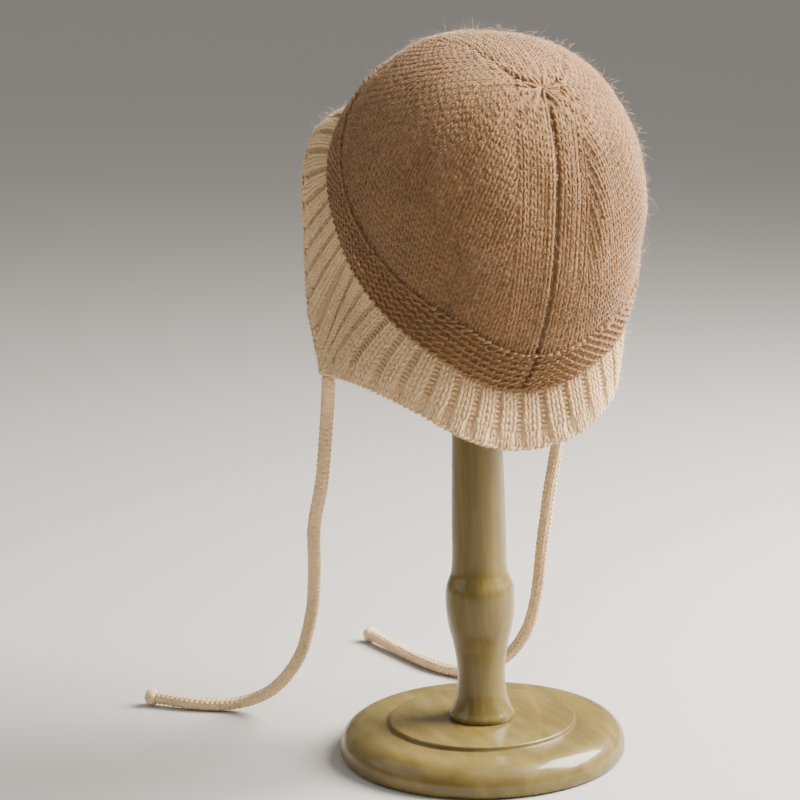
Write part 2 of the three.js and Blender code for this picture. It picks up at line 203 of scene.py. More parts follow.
# Ties: where each leaves the rim, and its route under the rim (x, y, z)
TIE_RADIUS = 4.1
TIE_SEAT = 1.0
TIE_LEAD = 4
TIE_INSET = 3
TIE_SIDES = 14
TIE_COLUMNS = 5
TIE_ROW = 3.3
TIE_STITCH_SINK = 1.55
TIE_STITCH_SIZE = (4.7, TIE_ROW, 4)
TIE_TWIST = 0.006
TIES = {
    "left_tie": (
        58.7,
        [
            *((82.5, -27, 205), (84, -34, 166), (85, -45, 138), (80.5, -58, 108), (77, -74, 76)),
            *((79, -93, 43), (88, -116, 18), (99.5, -132.5, 7.5), (112.5, -142, 4.4)),
            *((127, -152.5, 4.4), (145, -171, 5.4)),
        ],
    ),
    "right_tie": (
        -65.9,
        [
            *((-71.5, -35, 183), (-70.3, -46, 142), (-71, -58, 104), (-75, -76, 63), (-74.5, -90, 38)),
            *((-68, -105, 19), (-57.5, -120, 8.2), (-46, -136, 4.4), (-38.5, -155, 4.4)),
            *((-33.5, -187, 4.4), (-28.5, -229, 5.4)),
        ],
    ),
}
KNOB_ROWS = [(0, 3.6), (1.2, 4.9), (3.6, 5.3), (6, 4.7), (7.6, 2.9)]
KNOB_LENGTH = 8.2
KNOB_NOTCH = 0.9
KNOB_SIDES = 24

# Turned stand. The post's rows are height and radius.
BASE_RADIUS = 84
BASE_HEIGHT = 19
BASE_FOOT_ROUND = 4
BASE_TOP_ROUND = 13
BASE_STEP_RADIUS = 55
BASE_STEP_RISE = 2.6
BASE_STEP_ROUND = 1.2
POST_ROWS = [
    *((22, 19), (24, 19.2), (28, 17.4), (36, 14.9), (46, 14), (55, 14.3), (68, 16.4)),
    *((80, 19.1), (92, 20.3), (101, 19.8), (107, 17.8), (111, 16.6), (150, 15.6), (190, 14.6)),
]
POST_TOP_RADIUS = 14.2
BASE_SIDES = 160
POST_SIDES = 96

# Colours and finishes. Each wool has its yarn, how far that is lightened (times and plus), its
# darkest and lightest parts, sheen and bump. The nap's wools are lightened as a painted sheen,
# for the light that loose fibres catch more than the yarn.
WOOLS = {
    "brown_wool": ("brown", 1, 0, 0.66, 1.3, 0.5, 0.5),
    "cream_wool": ("cream", 1, 0, 0.78, 1.15, 0.4, 0.5),
    # Painted sheen: the nap's yarn is lightened
    "brown_nap": ("brown", 1.5, 0.09, 0.8, 1.25, 0.9, 0.0),
    "cream_nap": ("cream", 1.15, 0.05, 0.85, 1.1, 0.7, 0.0),
}
SHEEN_TINT = (1.0, 0.89, 0.71, 1)
PAINTED_SHADE_TONE = 0.5  # share of the colour that painted shade leaves in the seams and grooves
WOOD_DARK = (0.7, 0.69, 0.66)
WOOD_LIGHT = (1.25, 1.32, 1.65)

# Camera, from the photograph: lens, place and aim
CAMERA_AROUND = math.radians(25.5)
CAMERA_DISTANCE = 1.4
CAMERA_HEIGHT = 0.498
CAMERA_PITCH = math.radians(11.5)
CAMERA_YAW = math.radians(1.8)
CAMERA_ROLL = math.radians(1.4)
CAMERA_LENS = 111.6

# Lights: kind, power, its other settings, degrees beside the camera and above the floor, distance
LIGHTS = {
    "key_light": ("AREA", 118, {"size": 0.9, "color": (1.0, 0.96, 0.895)}, 99, 35, 1.15),
    "room_light": ("SUN", 0.8, {"angle": math.radians(60)}, 50, 60, 1.5),
    "fill_light": ("AREA", 9, {"size": 1.6}, -80, 30, 1.8),
}
LIT_PLACE = Vector((0, 0, 0.3))
FLOOR_REACH = 30000
LIGHT_TINT = (1.0, 0.96, 0.89, 1)
ROOM_LIGHT = 0.27


def size_property(name, description, default, low, high):
    return bpy.props.FloatProperty(name=name, description=description, default=default, min=low, max=high)


def count_property(name, description, default, low, high):
    return bpy.props.IntProperty(name=name, description=description, default=default, min=low, max=high)


def colour_property(name, description, default):
    return bpy.props.FloatVectorProperty(
        name=name, description=description, subtype="COLOR", size=3, default=default
    )


class KnitSizes(bpy.types.PropertyGroup):
    """Sizes of the yarn and the stitches, in millimetres"""

    stitch_width: size_property("Stitch width", "Width of one crown stitch", 4.4, 2, 12)
    stitch_rows: count_property("Crown rows", "Rows of stitches from the band to the gather", 38, 10, 80)
    yarn: size_property("Yarn", "Thickness of the yarn", 2.2, 0.5, 5)
    rib_depth: size_property("Rib depth", "Depth of the groove between two ribs", 3.1, 0, 5)
    rib_row: size_property("Rib row", "Height of one row of stitches in the ribs", 3.7, 1, 8)
    fuzz_length: size_property("Fuzz length", "Length of the nap's fibres", 3.4, 0, 10)
    hair_length: size_property("Hair length", "Length of the few long hairs", 7.5, 0, 15)
    fuzz_count: count_property("Fuzz density", "Loose fibres on a square centimetre", 50, 0, 200)


class HatColours(bpy.types.PropertyGroup):
    """Colours of the yarns, the wood and the floor"""

    brown: colour_property("Brown yarn", "Colour of the crown and the band", (0.25, 0.134, 0.058))
    cream: colour_property("Cream yarn", "Colour of the ribbed border and the ties", (0.7, 0.5, 0.285))
    wood: colour_property("Wood", "Colour of the varnished wood", (0.165, 0.12, 0.031))
    floor: colour_property("Floor", "Colour of the floor", (0.45, 0.43, 0.41))


# Curves and directions


def smoothstep(value, low, high):
    t = np.clip((np.asarray(value, float) - low) / (high - low), 0, 1)
    return t * t * (3 - 2 * t)


def bell(distance, width):
    """1 in the middle, and next to nothing two widths away."""
    return np.exp(-((distance / width) ** 2))


def ridges(distance, rows):
    """Ridges and grooves side by side, each with its height, place and width."""
    return sum(height * bell(distance - place, width) for height, place, width in rows)


def wrapped(value, start, turn):
    """The value moved by whole turns, so that it lies between start and a turn further."""
    return (value - start) % turn + start


def from_back(around):
    """Degrees from the back centre, from -180 to 180."""
    return wrapped(np.asarray(around, float), -180, 360)


def unit(vectors):
    return vectors / np.maximum(np.linalg.norm(vectors, axis=-1, keepdims=True), 1e-9)


def arc_lengths(points):
    """Length along a line from its start to each of its points."""
    return np.concatenate([[0], np.cumsum(np.linalg.norm(np.diff(points, axis=0), axis=1))])


def along_line(spots, lengths, values):
    """Vectors that belong to a line's points, read off at other lengths along it."""
    return np.stack([np.interp(spots, lengths, values[:, i]) for i in range(3)], -1)


def round_angles(count):
    return np.linspace(0, 2 * math.pi, count, endpoint=False)


def ring(first, second, angles):
    """Points of a unit circle in the plane of two directions."""
    return np.outer(np.cos(angles), first) + np.outer(np.sin(angles), second)


def spline(points, closed=False):
    """Centripetal Catmull-Rom curve through points, as a function of 0 to 1."""
    points = np.asarray(points, float)
    if closed:
        padded = np.concatenate([points[-1:], points, points[:2]])
    else:
        padded = np.concatenate([[2 * points[0] - points[1]], points, [2 * points[-1] - points[-2]]])
    spans = len(padded) - 3

    def at(share):
        place = np.asarray(share, float) * spans
        index = np.floor(place).astype(int)
        if not closed:
            index = np.clip(index, 0, spans - 1)
        t = (place - index)[..., None]
        p0, p1, p2, p3 = (padded[index % spans + i] for i in range(4))
        d0, d1, d2 = (
            np.maximum(((b - a) ** 2).sum(-1, keepdims=True) ** 0.25, 1e-4)
            for a, b in ((p0, p1), (p1, p2), (p2, p3))
        )
        m1 = d1 * ((p1 - p0) / d0 - (p2 - p0) / (d0 + d1) + (p2 - p1) / d1)
        m2 = d1 * ((p2 - p1) / d1 - (p3 - p1) / (d1 + d2) + (p3 - p2) / d2)
        square = -3 * p1 + 3 * p2 - 2 * m1 - m2
        cube = 2 * p1 - 2 * p2 + m1 + m2
        return p1 + t * (m1 + t * (square + t * cube))

    return at


# Surfaces of the hat


def edge_down(around):
    """Degrees down from the gather to the crown's lower edge."""
    place = np.abs(from_back(around)) / EDGE_STEP
    index = np.minimum(np.floor(place).astype(int), len(EDGE_DOWN) - 2)
    mirrored = np.concatenate([EDGE_DOWN[1:2], EDGE_DOWN, EDGE_DOWN[-2:-1]])
    a, b, c, d = (mirrored[index + i] for i in range(4))
    t = place - index
    return b + 0.5 * t * (c - a + t * (2 * a - 5 * b + 4 * c - d + t * (3 * (b - c) + d - a)))


def crown_surface(around, down):
    """Point of the crown, both angles in degrees, before the hat is placed."""
    around, down = np.broadcast_arrays(np.radians(around), np.radians(down))
    local = np.stack([np.sin(down) * np.sin(around), np.sin(down) * np.cos(around), np.cos(down)], -1)
    direction = local @ CROWN_AXES
    pitched = direction @ np.array(Matrix.Rotation(CROWN_PITCH, 3, "X")).T
    total = (np.abs(pitched / CROWN_HALF) ** CROWN_FULLNESS).sum(-1, keepdims=True)
    return direction * total ** (-1 / CROWN_FULLNESS)


def crown_face(around, share):
    """The crown from the gather, share 0, to the band's upper edge, share 1."""
    return crown_surface(around, (edge_down(around) - BAND_HEIGHT - SEAT_GAP / CROWN_ARC) * share)


def band_face(around, share):
    return crown_surface(around, edge_down(around) - BAND_HEIGHT * (1 - share))


def swung(around, share):
    """Moves the stations near the front seams, which leave the gather sideways."""
    around, share = np.broadcast_arrays(np.asarray(around, float), np.asarray(share, float))
    shift = FRONT_SEAM_SWING * np.exp(-share / FRONT_SEAM_SWING_REACH)
    size = np.abs(around)
    behind = size * (FRONT_SEAM - shift) / FRONT_SEAM
    before = 180 - (180 - size) * (180 - FRONT_SEAM + shift) / (180 - FRONT_SEAM)
    return np.sign(around) * np.where(size < FRONT_SEAM, behind, before)


# The rim's rows from the wearer's right round the back to the left and the front
RIM = [(-around, (-x, y, z), upright) for around, (x, y, z), upright in RIM_ROWS[-2:0:-1]] + RIM_ROWS
RIM_AROUND = np.array([row[0] for row in RIM], float)
RIM_CURVE = spline([row[1] for row in RIM], closed=True)
RIM_UPRIGHT = np.array([row[2] for row in RIM])


def rib_surface(around, share):
    """The border: a rib leaves the edge at around and bends square to the rim."""
    around, share = np.broadcast_arrays(np.asarray(around, float), np.asarray(share, float))
    count = len(RIM)
    stations = np.append(RIM_AROUND, RIM_AROUND[0] + 360)
    station = np.interp(wrapped(around, RIM_AROUND[0], 360), stations, np.arange(count + 1))
    upright = np.interp(station, np.arange(count + 1), np.append(RIM_UPRIGHT, RIM_UPRIGHT[0]))[..., None]
    place = station / count
    top = crown_surface(around, edge_down(around))
    rim = RIM_CURVE(place)
    along = unit(RIM_CURVE(place + 1e-4) - RIM_CURVE(place - 1e-4))
    slant = top - rim
    square = unit(slant - along * (slant * along).sum(-1, keepdims=True))
    reach = np.linalg.norm(slant, axis=-1, keepdims=True)
    bend = rim + square * reach * upright + slant * 0.5 * (0.5 - upright)
    share = share[..., None]
    return top * (1 - share) ** 2 + bend * 2 * share * (1 - share) + rim * share**2


def surface_frames(surface, around, share):
    """Points of a surface with their outward, across and downward directions."""
    around, share = np.broadcast_arrays(np.asarray(around, float), np.asarray(share, float))
    step = 0.003 if surface is rib_surface else 0.01
    point = surface(around, share)
    across = unit(surface(around + 0.5, share) - surface(around - 0.5, share))
    down = unit(surface(around, share + step) - surface(around, share - step))
    outward = unit(np.cross(down, across))
    outward *= np.where((outward * point).sum(-1, keepdims=True) < 0, -1, 1)
    return point, outward, across, down


def turned(vectors):
    return vectors @ HAT_AXES


def placed(points):
    return turned(points) + HAT_CENTRE


def lifted(surface, around, share, height):
    """Points at a height over a surface, where the hat is placed."""
    point, outward, _, _ = surface_frames(surface, around, share)
    return placed(point + outward * np.reshape(height, (-1, 1)))


# Meshes


def mesh_object(name, points, faces, smooth=True):
    """A mesh object from points in millimetres."""
    mesh = bpy.data.meshes.new(name)
    mesh.from_pydata((np.asarray(points) * METRES).tolist(), [], faces)
    mesh.polygons.foreach_set("use_smooth", [smooth] * len(mesh.polygons))
    mesh.update()
    return linked_object(name, mesh)


def linked_object(name, data):
    thing = bpy.data.objects.new(name, data)
    bpy.context.scene.collection.objects.link(thing)
    return thing


def ring_faces(rows, count, wrap):
    """Quads between rows of points that each close on themselves."""
    row = np.arange(rows if wrap else rows - 1)[:, None]
    step = np.arange(count)[None, :]
    upper = row * count
    lower = ((row + 1) % rows) * count
    after = (step + 1) % count
    quads = np.stack([upper + step, lower + step, lower + after, upper + after], -1)
    return quads.reshape(-1, 4).tolist()


def outward_faces(points, faces):
    """Turns the faces of a closed body outwards, by its volume."""
    corners = [(face[0], face[i], face[i + 1]) for face in faces for i in range(1, len(face) - 1)]
    a, b, c = points[np.array(corners)].transpose(1, 0, 2)
    return faces if (a * np.cross(b, c)).sum() > 0 else [face[::-1] for face in faces]


def tube_body(name, rings):
    """A body closed in both directions: rings down the outside and up the inside."""
    points = np.concatenate(rings)
    return mesh_object(name, points, outward_faces(points, ring_faces(len(rings), len(rings[0]), True)))


def capped(rings, first_pole, last_pole):
    """Points and faces of a body with a pole at each end of its rings."""
    count = len(rings[0])
    points = np.concatenate([*rings, [first_pole], [last_pole]])
    faces = ring_faces(len(rings), count, False)
    last = (len(rings) - 1) * count
    for i in range(count):
        after = (i + 1) % count
        faces.append([len(points) - 2, i, after])
        faces.append([len(points) - 1, last + after, last + i])
    return points, outward_faces(points, faces)


def lathe_body(name, profile, segments):
    """A turned body. The profile runs from the axis to the axis: (radius, height)."""
    circle = ring((1, 0, 0), (0, 1, 0), round_angles(segments))
    rings = [circle * radius + (0, 0, height) for radius, height in profile[1:-1]]
    return mesh_object(name, *capped(rings, (0, 0, profile[0][1]), (0, 0, profile[-1][1])))


def set_nap(thing, outside, inside):
    """How thickly the fibres stand: a value for each of the first points, which lie outside, and
    one for the rest. Where they are missing outside, the fabric's colour is darkened with painted
    shade."""
    rest = len(thing.data.vertices) - len(outside)
    # The painted shade attribute: the share of fibres missing outside, and none inside
    for name, values, others in (("shaded", 1 - outside, 0), ("nap", outside, inside)):
        attribute = thing.data.attributes.new(name, "FLOAT", "POINT")
        attribute.data.foreach_set("value", np.append(values, np.full(rest, others)).astype(np.float32))
    return thing


def joined(name, things):
    """One object from several, each with its materials."""
    with bpy.context.temp_override(
        active_object=things[0], object=things[0], selected_objects=things, selected_editable_objects=things
    ):
        bpy.ops.object.join()
    things[0].name = name
    return things[0]


# Single stitches and fibres. Each is about one unit wide and high, with its top towards +Y and
# its face towards +Z, and is scaled to its place.


def strand(middle, radii, sides):
    """Closed strand of yarn along the points of middle, with one radius for each."""
    middle = np.asarray(middle, float)
    along = unit(np.gradient(middle, axis=0))
    side = unit(np.cross(along, (0, 0, 1)))
    lift = np.cross(side, along)
    angles = round_angles(sides)
    rings = [middle[k] + radii[k] * ring(side[k], lift[k], angles) for k in range(1, len(middle) - 1)]
    return capped(rings, middle[0], middle[-1])


def strands_object(name, strands, sides=5):
    """A hidden object that holds one stitch or fibre, made of strands."""
    points, faces = [], []
    for middle, radii in strands:
        more, sided = strand(middle, radii, sides)
        faces += [[corner + len(points) for corner in face] for face in sided]
        points += list(more)
    thing = mesh_object(name, np.array(points) / METRES, faces)
    thing.hide_render = True
    return thing


def knit_stitch():
    """A knit stitch: two legs that lean away from each other like a V."""
    leg = ((0.1, -0.8, -0.16), (0.15, -0.52, 0.02), (0.25, 0, 0.12), (0.34, 0.46, 0), (0.38, 0.74, -0.22))
    radii = (0, 0.17, 0.235, 0.18, 0)
    legs = [([(side * x, y, z) for x, y, z in leg], radii) for side in (-1, 1)]
    return strands_object("knit_stitch", legs)


def purl_stitch():
    """A purl bump: a short bar of yarn across the fabric."""
    bar = ((-0.6, -0.06, -0.16), (-0.34, 0.05, 0), (0, 0.1, 0.07), (0.34, 0.05, 0), (0.6, -0.06, -0.16))
    return strands_object("purl_stitch", [(bar, (0, 0.19, 0.24, 0.19, 0))])


def garter_stitch():
    """A garter stitch: an upper arc and a lower one that lies beside it."""
    angles = np.radians([-100, -52, 0, 52, 100])
    across, along = np.sin(angles), np.cos(angles)
    arcs = []
    for side in (-1, 1):
        arc = np.stack([side * 0.25 + 0.24 * across, -side * 0.16 * along, 0.1 * along - 0.02], -1)
        arcs.append((arc, (0, 0.13, 0.16, 0.13, 0)))
    return strands_object("garter_stitch", arcs)


def nap_fibre():
    """A fibre of the brushed nap, which leans right over."""
    spike = ((0, 0, -0.1), (0.34, 0.04, 0.36), (1, -0.05, 0.4))
    return strands_object("nap_fibre", [(spike, (0, 0.026, 0))], sides=3)


def loose_hair():
    """A long hair that stands out from the nap."""
    spike = ((0, 0, -0.1), (0.2, 0.05, 0.42), (0.75, -0.05, 0.7))
    return strands_object("loose_hair", [(spike, (0, 0.009, 0))], sides=3)


def once(collection, build):
    """What build makes, made the first time only. It is named like build."""
    return collection.get(build.__name__) or build()


# Nodes


def socket(sockets, name):
    return next(s for s in sockets if s.name == name and s.enabled)


def feed(tree, target, value):
    """Links an output to a socket, or sets the socket's own value."""
    if isinstance(value, bpy.types.NodeSocket):
        tree.links.new(value, target)
    else:
        target.default_value = value


def add_node(tree, kind, inputs=None, **settings):
    """A node with its settings, and its inputs by name or number."""
    node = tree.nodes.new(kind)
    for name, value in settings.items():
        setattr(node, name, value)
    for name, value in (inputs or {}).items():
        feed(tree, node.inputs[name] if isinstance(name, int) else socket(node.inputs, name), value)
    return node


def result(tree, kind, inputs, **settings):
    """The first output of a new node."""
    return next(s for s in add_node(tree, kind, inputs, **settings).outputs if s.enabled)


def new_group(name, kind, inputs, outputs):
    """An empty node group. Inputs are (name, kind of socket, default) and outputs (name, kind)."""
    group = bpy.data.node_groups.new(name, kind)
    for label, of, default in inputs:
        made = group.interface.new_socket(label, in_out="INPUT", socket_type="NodeSocket" + of)
        if default is not None:
            made.default_value = default
    for label, of in outputs:
        group.interface.new_socket(label, in_out="OUTPUT", socket_type="NodeSocket" + of)
    return group, group.nodes.new("NodeGroupInput").outputs, group.nodes.new("NodeGroupOutput").inputs


def scaled(tree, vector, scale):
    return result(tree, "ShaderNodeVectorMath", {0: vector, "Scale": scale}, operation="SCALE")


def combined(tree, first, second, operation="ADD"):
    return result(tree, "ShaderNodeMath", {0: first, 1: second}, operation=operation)


def random_vector(tree, low, high, seed):
    values = {"Seed": seed, "Min": low, "Max": high}
    return result(tree, "FunctionNodeRandomValue", values, data_type="FLOAT_VECTOR")


def finish_tree(tree, entry, leave, points, shape, aim, sway, scale):
    """Ends a tree: the shape on every point, aimed, swayed and scaled, made real, with a material."""
    sway = result(tree, "FunctionNodeEulerToRotation", {"Euler": sway})
    turn = {"Rotation": aim, "Rotate By": sway}
    turn = result(tree, "FunctionNodeRotateRotation", turn, rotation_space="LOCAL")
    source = add_node(tree, "GeometryNodeObjectInfo", {"Object": shape}).outputs["Geometry"]
    told = {"Points": points, "Instance": source, "Rotation": turn, "Scale": scale}
    laid = result(tree, "GeometryNodeInstanceOnPoints", told)
    real = result(tree, "GeometryNodeRealizeInstances", {"Geometry": laid})
    done = result(tree, "GeometryNodeSetMaterial", {"Geometry": real, "Material": entry["Material"]})
    tree.links.new(done, leave["Geometry"])
    return tree


def new_tree(name, inputs):
    """An empty geometry tree, with its own inputs and those that both trees have."""
    shared = [("Geometry", "Geometry", None), ("Seed", "Int", 7), ("Material", "Material", None)]
    return new_group(name, "GeometryNodeTree", shared + inputs, [("Geometry", "Geometry")])


def lay_stitches():
    """Lays a stitch on every point, turned and sized by the point's own attributes."""
    inputs = [("Stitch", "Object", None), ("Unevenness", "Float", 0.08)]
    tree, entry, leave = new_tree("lay_stitches", inputs)
    outward, upward, size = (
        result(tree, "GeometryNodeInputNamedAttribute", {"Name": name}, data_type="FLOAT_VECTOR")
        for name in ("outward", "upward", "size")
    )
    axes = {"Primary Axis": outward, "Secondary Axis": upward}
    aim = result(tree, "FunctionNodeAxesToRotation", axes, primary_axis="Z", secondary_axis="Y")
    spread = random_vector(tree, (-1, -1, -1), (1, 1, 1), entry["Seed"])
    spread = scaled(tree, spread, entry["Unevenness"])
    grown = result(tree, "ShaderNodeVectorMath", {0: spread, 1: size, 2: size}, operation="MULTIPLY_ADD")
    return finish_tree(tree, entry, leave, entry["Geometry"], entry["Stitch"], aim, spread, grown)


def raise_fuzz():
    """Raises loose fibres from the faces of a mesh."""
    sizes = [("Density", "Float", 200000.0), ("Length", "Float", 0.003), ("Tilt", "Float", 0.32)]
    tree, entry, leave = new_tree("raise_fuzz", [("Fibre", "Object", None), *sizes])
    nap = result(tree, "GeometryNodeInputNamedAttribute", {"Name": "nap"}, data_type="FLOAT")
    density = combined(tree, nap, entry["Density"], "MULTIPLY")
    points = add_node(
        tree,
        "GeometryNodeDistributePointsOnFaces",
        {"Mesh": entry["Geometry"], "Density": density, "Seed": entry["Seed"]},
        distribute_method="RANDOM",
    ).outputs
    tilt = scaled(tree, random_vector(tree, (-1, -1, -10), (1, 1, 10), entry["Seed"]), entry["Tilt"])
    size = random_vector(tree, (0.5, 0.5, 0.4), (1.3, 1.3, 1.4), entry["Seed"])
    size = scaled(tree, size, entry["Length"])
    return finish_tree(tree, entry, leave, points["Points"], entry["Fibre"], points["Rotation"], tilt, size)


def grown_from(name, source, build, values):
    """Runs a tree on source and takes the result as a plain mesh object."""
    modifier = source.modifiers.new("grow", "NODES")
    modifier.node_group = once(bpy.data.node_groups, build)
    for item in modifier.node_group.interface.items_tree:
        if item.in_out == "INPUT" and item.name in values:
            modifier[item.identifier] = values[item.name]
    bpy.context.view_layer.update()
    depsgraph = bpy.context.evaluated_depsgraph_get()
    mesh = bpy.data.meshes.new_from_object(source.evaluated_get(depsgraph))
    source.modifiers.remove(modifier)
    mesh.name = name
    mesh.polygons.foreach_set("use_smooth", [True] * len(mesh.polygons))
    return linked_object(name, mesh)


def stitches(name, build, rows, material, seed, unevenness=0.07, on_hat=True):
    """Stitches in rows of points, outward and upward directions and sizes, in millimetres. Rows
    on the hat are turned and moved as it is."""
    points, outward, upward = (np.concatenate([row[i] for row in rows]) for i in range(3))
    sizes = np.concatenate([np.broadcast_to(row[3], row[0].shape) for row in rows])
    if on_hat:
        points, outward, upward = placed(points), turned(outward), turned(upward)
    seeds = mesh_object(name + "_places", points, [])
    for label, values in (("outward", outward), ("upward", upward), ("size", sizes * METRES)):
        attribute = seeds.data.attributes.new(label, "FLOAT_VECTOR", "POINT")
        attribute.data.foreach_set("vector", np.asarray(values, np.float32).ravel())
    shape = once(bpy.data.objects, build)
    values = {"Stitch": shape, "Unevenness": unevenness, "Seed": seed, "Material": wool(material)}
    made = grown_from(name, seeds, lay_stitches, values)
    bpy.data.objects.remove(seeds)
    return made


# Materials


def mixed(tree, factor, first, second):
    return result(tree, "ShaderNodeMix", {"Factor": factor, "A": first, "B": second}, data_type="RGBA")


def noise(tree, vector, scale, detail, roughness):
    values = {"Vector": vector, "Scale": scale, "Detail": detail, "Roughness": roughness}
    return result(tree, "ShaderNodeTexNoise", values)


def ramped(tree, value, low, high, to_low=0.0, to_high=1.0):
    values = {"Value": value, "From Min": low, "From Max": high, "To Min": to_low, "To Max": to_high}
    return result(tree, "ShaderNodeMapRange", values, interpolation_type="SMOOTHSTEP")


def brushed_yarn():
    """Uneven dyeing and fine fibres of a brushed wool yarn, and painted shade in its seams and grooves."""
    group, entry, leave = new_group(
        "brushed_yarn",
        "ShaderNodeTree",
        [("Yarn", "Color", (0.5, 0.4, 0.3, 1)), ("Shade", "Float", 0.62), ("Tint", "Float", 1.35)],
        [("Color", "Color"), ("Height", "Float")],
    )
    place = add_node(group, "ShaderNodeTexCoord").outputs["Object"]
    # Painted shade darkens the colour in the seams and the grooves between ribs
    shaded = add_node(group, "ShaderNodeAttribute", attribute_name="shaded").outputs["Fac"]
    fibres = noise(group, place, 1500, 3, 0.7)
    flecks = noise(group, place, 420, 2, 0.6)
    dyeing = noise(group, place, 28, 3, 0.6)
    dark, light = (scaled(group, entry["Yarn"], entry[name]) for name in ("Shade", "Tint"))
    tone = ramped(group, flecks, 0.3, 0.7, 0, 0.55)
    tone = combined(group, tone, ramped(group, dyeing, 0.3, 0.7, 0, 0.35))
    tone = combined(group, tone, ramped(group, fibres, 0.35, 0.75, 0, 0.3))
    colour = mixed(group, tone, dark, light)
    # Painted shade, where the fibres are missing
    colour = mixed(group, shaded, colour, scaled(group, colour, PAINTED_SHADE_TONE))
    feed(group, leave["Color"], colour)
    feed(group, leave["Height"], combined(group, fibres, combined(group, flecks, 1.4, "MULTIPLY")))
    return group


def stained_grain():
    """Stained grain under old varnish: long streaks, blotches and dark pores."""
    group, entry, leave = new_group(
        "stained_grain",
        "ShaderNodeTree",
        [("Wood", "Color", (0.3, 0.2, 0.1, 1)), ("Stretch", "Vector", (40, 40, 4)), ("Wear", "Float", 0.5)],
        [("Color", "Color"), ("Roughness", "Float"), ("Height", "Float")],
    )
    place = add_node(group, "ShaderNodeTexCoord").outputs["Object"]
    wood = entry["Wood"]
    drawn, dark, light = (
        result(group, "ShaderNodeVectorMath", {0: first, 1: second}, operation="MULTIPLY")
        for first, second in ((place, entry["Stretch"]), (wood, WOOD_DARK), (wood, WOOD_LIGHT))
    )
    grain = noise(group, drawn, 3, 5, 0.62)
    pores = noise(group, drawn, 14, 3, 0.6)
    blotches = noise(group, place, 16, 4, 0.6)
    scratches = noise(group, place, 90, 4, 0.7)
    stained = mixed(group, ramped(group, grain, 0.36, 0.64), dark, wood)
    rubbed = combined(group, ramped(group, blotches, 0.5, 0.75), entry["Wear"], "MULTIPLY")
    worn = mixed(group, rubbed, stained, light)
    feed(group, leave["Color"], mixed(group, ramped(group, pores, 0.62, 0.78, 0, 0.6), worn, dark))
    matt = ramped(group, scratches, 0.4, 0.7, 0.3, 0.5)
    feed(group, leave["Roughness"], combined(group, matt, ramped(group, blotches, 0.4, 0.7, 0, 0.15)))
    feed(group, leave["Height"], combined(group, grain, combined(group, scratches, 0.5, "MULTIPLY")))
    return group


def new_material(name):
    material = bpy.data.materials.new(name)
    material.use_nodes = True
    return material, material.node_tree, material.node_tree.nodes["Principled BSDF"]


def patterned(name, build, pattern, strength, distance, finish):
    """A material whose colour and bump come from a node group, and whose finish is the shader's."""
    material, tree, shader = new_material(name)
    source = add_node(tree, "ShaderNodeGroup", pattern, node_tree=once(bpy.data.node_groups, build)).outputs
    bump = {"Height": source["Height"], "Strength": strength, "Distance": distance}
    finish = {"Base Color": source["Color"], "Normal": result(tree, "ShaderNodeBump", bump), **finish}
    if "Roughness" in source:
        finish["Roughness"] = source["Roughness"]
    for label, value in finish.items():
        feed(tree, shader.inputs[label], value)
    return material


def wool(name):
    """One of the wools, made the first time only."""
    if name in bpy.data.materials:
        return bpy.data.materials[name]
    colour, times, plus, shade, tint, sheen, bump = WOOLS[name]
    yarn = [min(1, times * c + plus) for c in getattr(bpy.context.scene.hat_colours, colour)]
    finish = {
        "Roughness": 0.95,
        "Specular IOR Level": 0.15,
        "Sheen Weight": sheen,
        "Sheen Roughness": 0.4,
        "Sheen Tint": SHEEN_TINT,
    }
    pattern = {"Yarn": (*yarn, 1), "Shade": shade, "Tint": tint}
    return patterned(name, brushed_yarn, pattern, bump, 0.0004, finish)


def varnished_wood(name, stretch, wear):
    pattern = {"Wood": (*bpy.context.scene.hat_colours.wood, 1), "Stretch": stretch, "Wear": wear}
    finish = {"Specular IOR Level": 0.2, "Coat Weight": 0.5, "Coat Roughness": 0.12}
    return patterned(name, stained_grain, pattern, 0.25, 0.0005, finish)


# Crown


def crown_row(share):
    """One row round the crown: its angles, the length to each from the back centre, its three
    seams and its whole length."""
    angles = np.linspace(-180, 180, 721)
    lengths = arc_lengths(crown_face(angles, share))
    lengths -= np.interp(0, angles, lengths)
    front = float(swung(FRONT_SEAM, share))
    seams = np.interp([-front, 0, front], angles, lengths)
    total = lengths[-1] - lengths[0]
    return SimpleNamespace(share=share, angles=angles, lengths=lengths, seams=seams, total=total)


def seam_distance(across, middle, row):
    """Signed distance along a row from a seam, across the row's ends too."""
    return wrapped(across - middle, -row.total / 2, row.total)


def drawn_in(share):
    """How far the crown is drawn in towards the band."""
    return CROWN_DRAW_IN * smoothstep(share, CROWN_DRAW_FROM, 1)


def crown_relief(across, share, row):
    """Height of the crown's fabric over its plain shape: seams, gathers and creases."""
    near = smoothstep(share, 0.0, 0.1)
    turn = 2 * math.pi * (across - row.lengths[0]) / row.total
    height = GATHER_RIPPLE * bell(share, 0.2) * near
    height = height * np.cos(GATHER_FOLDS * turn + 0.8 * np.sin(3 * turn))
    height -= GATHER_DIMPLE * bell(share, 0.05) + drawn_in(share)
    back = seam_distance(across, row.seams[1], row)
    height += near * ridges(back, BACK_SEAM_ROWS)
    for middle in (row.seams[0], row.seams[2]):
        height += near * ridges(np.abs(seam_distance(across, middle, row)), FRONT_SEAM_ROWS)
    # The shallow fold that runs down from the gather on the wearer's right
    fold = smoothstep(share, *FOLD_STARTS) * (1 - smoothstep(share, *FOLD_ENDS))
    height += fold * ridges(back + FOLD_SLANT * share, FOLD_ROWS)
    unevenness = np.sin(5 * turn + 9 * share) * np.sin(11 * share + 2 * turn)
    return height + CROWN_UNEVENNESS * near * unevenness


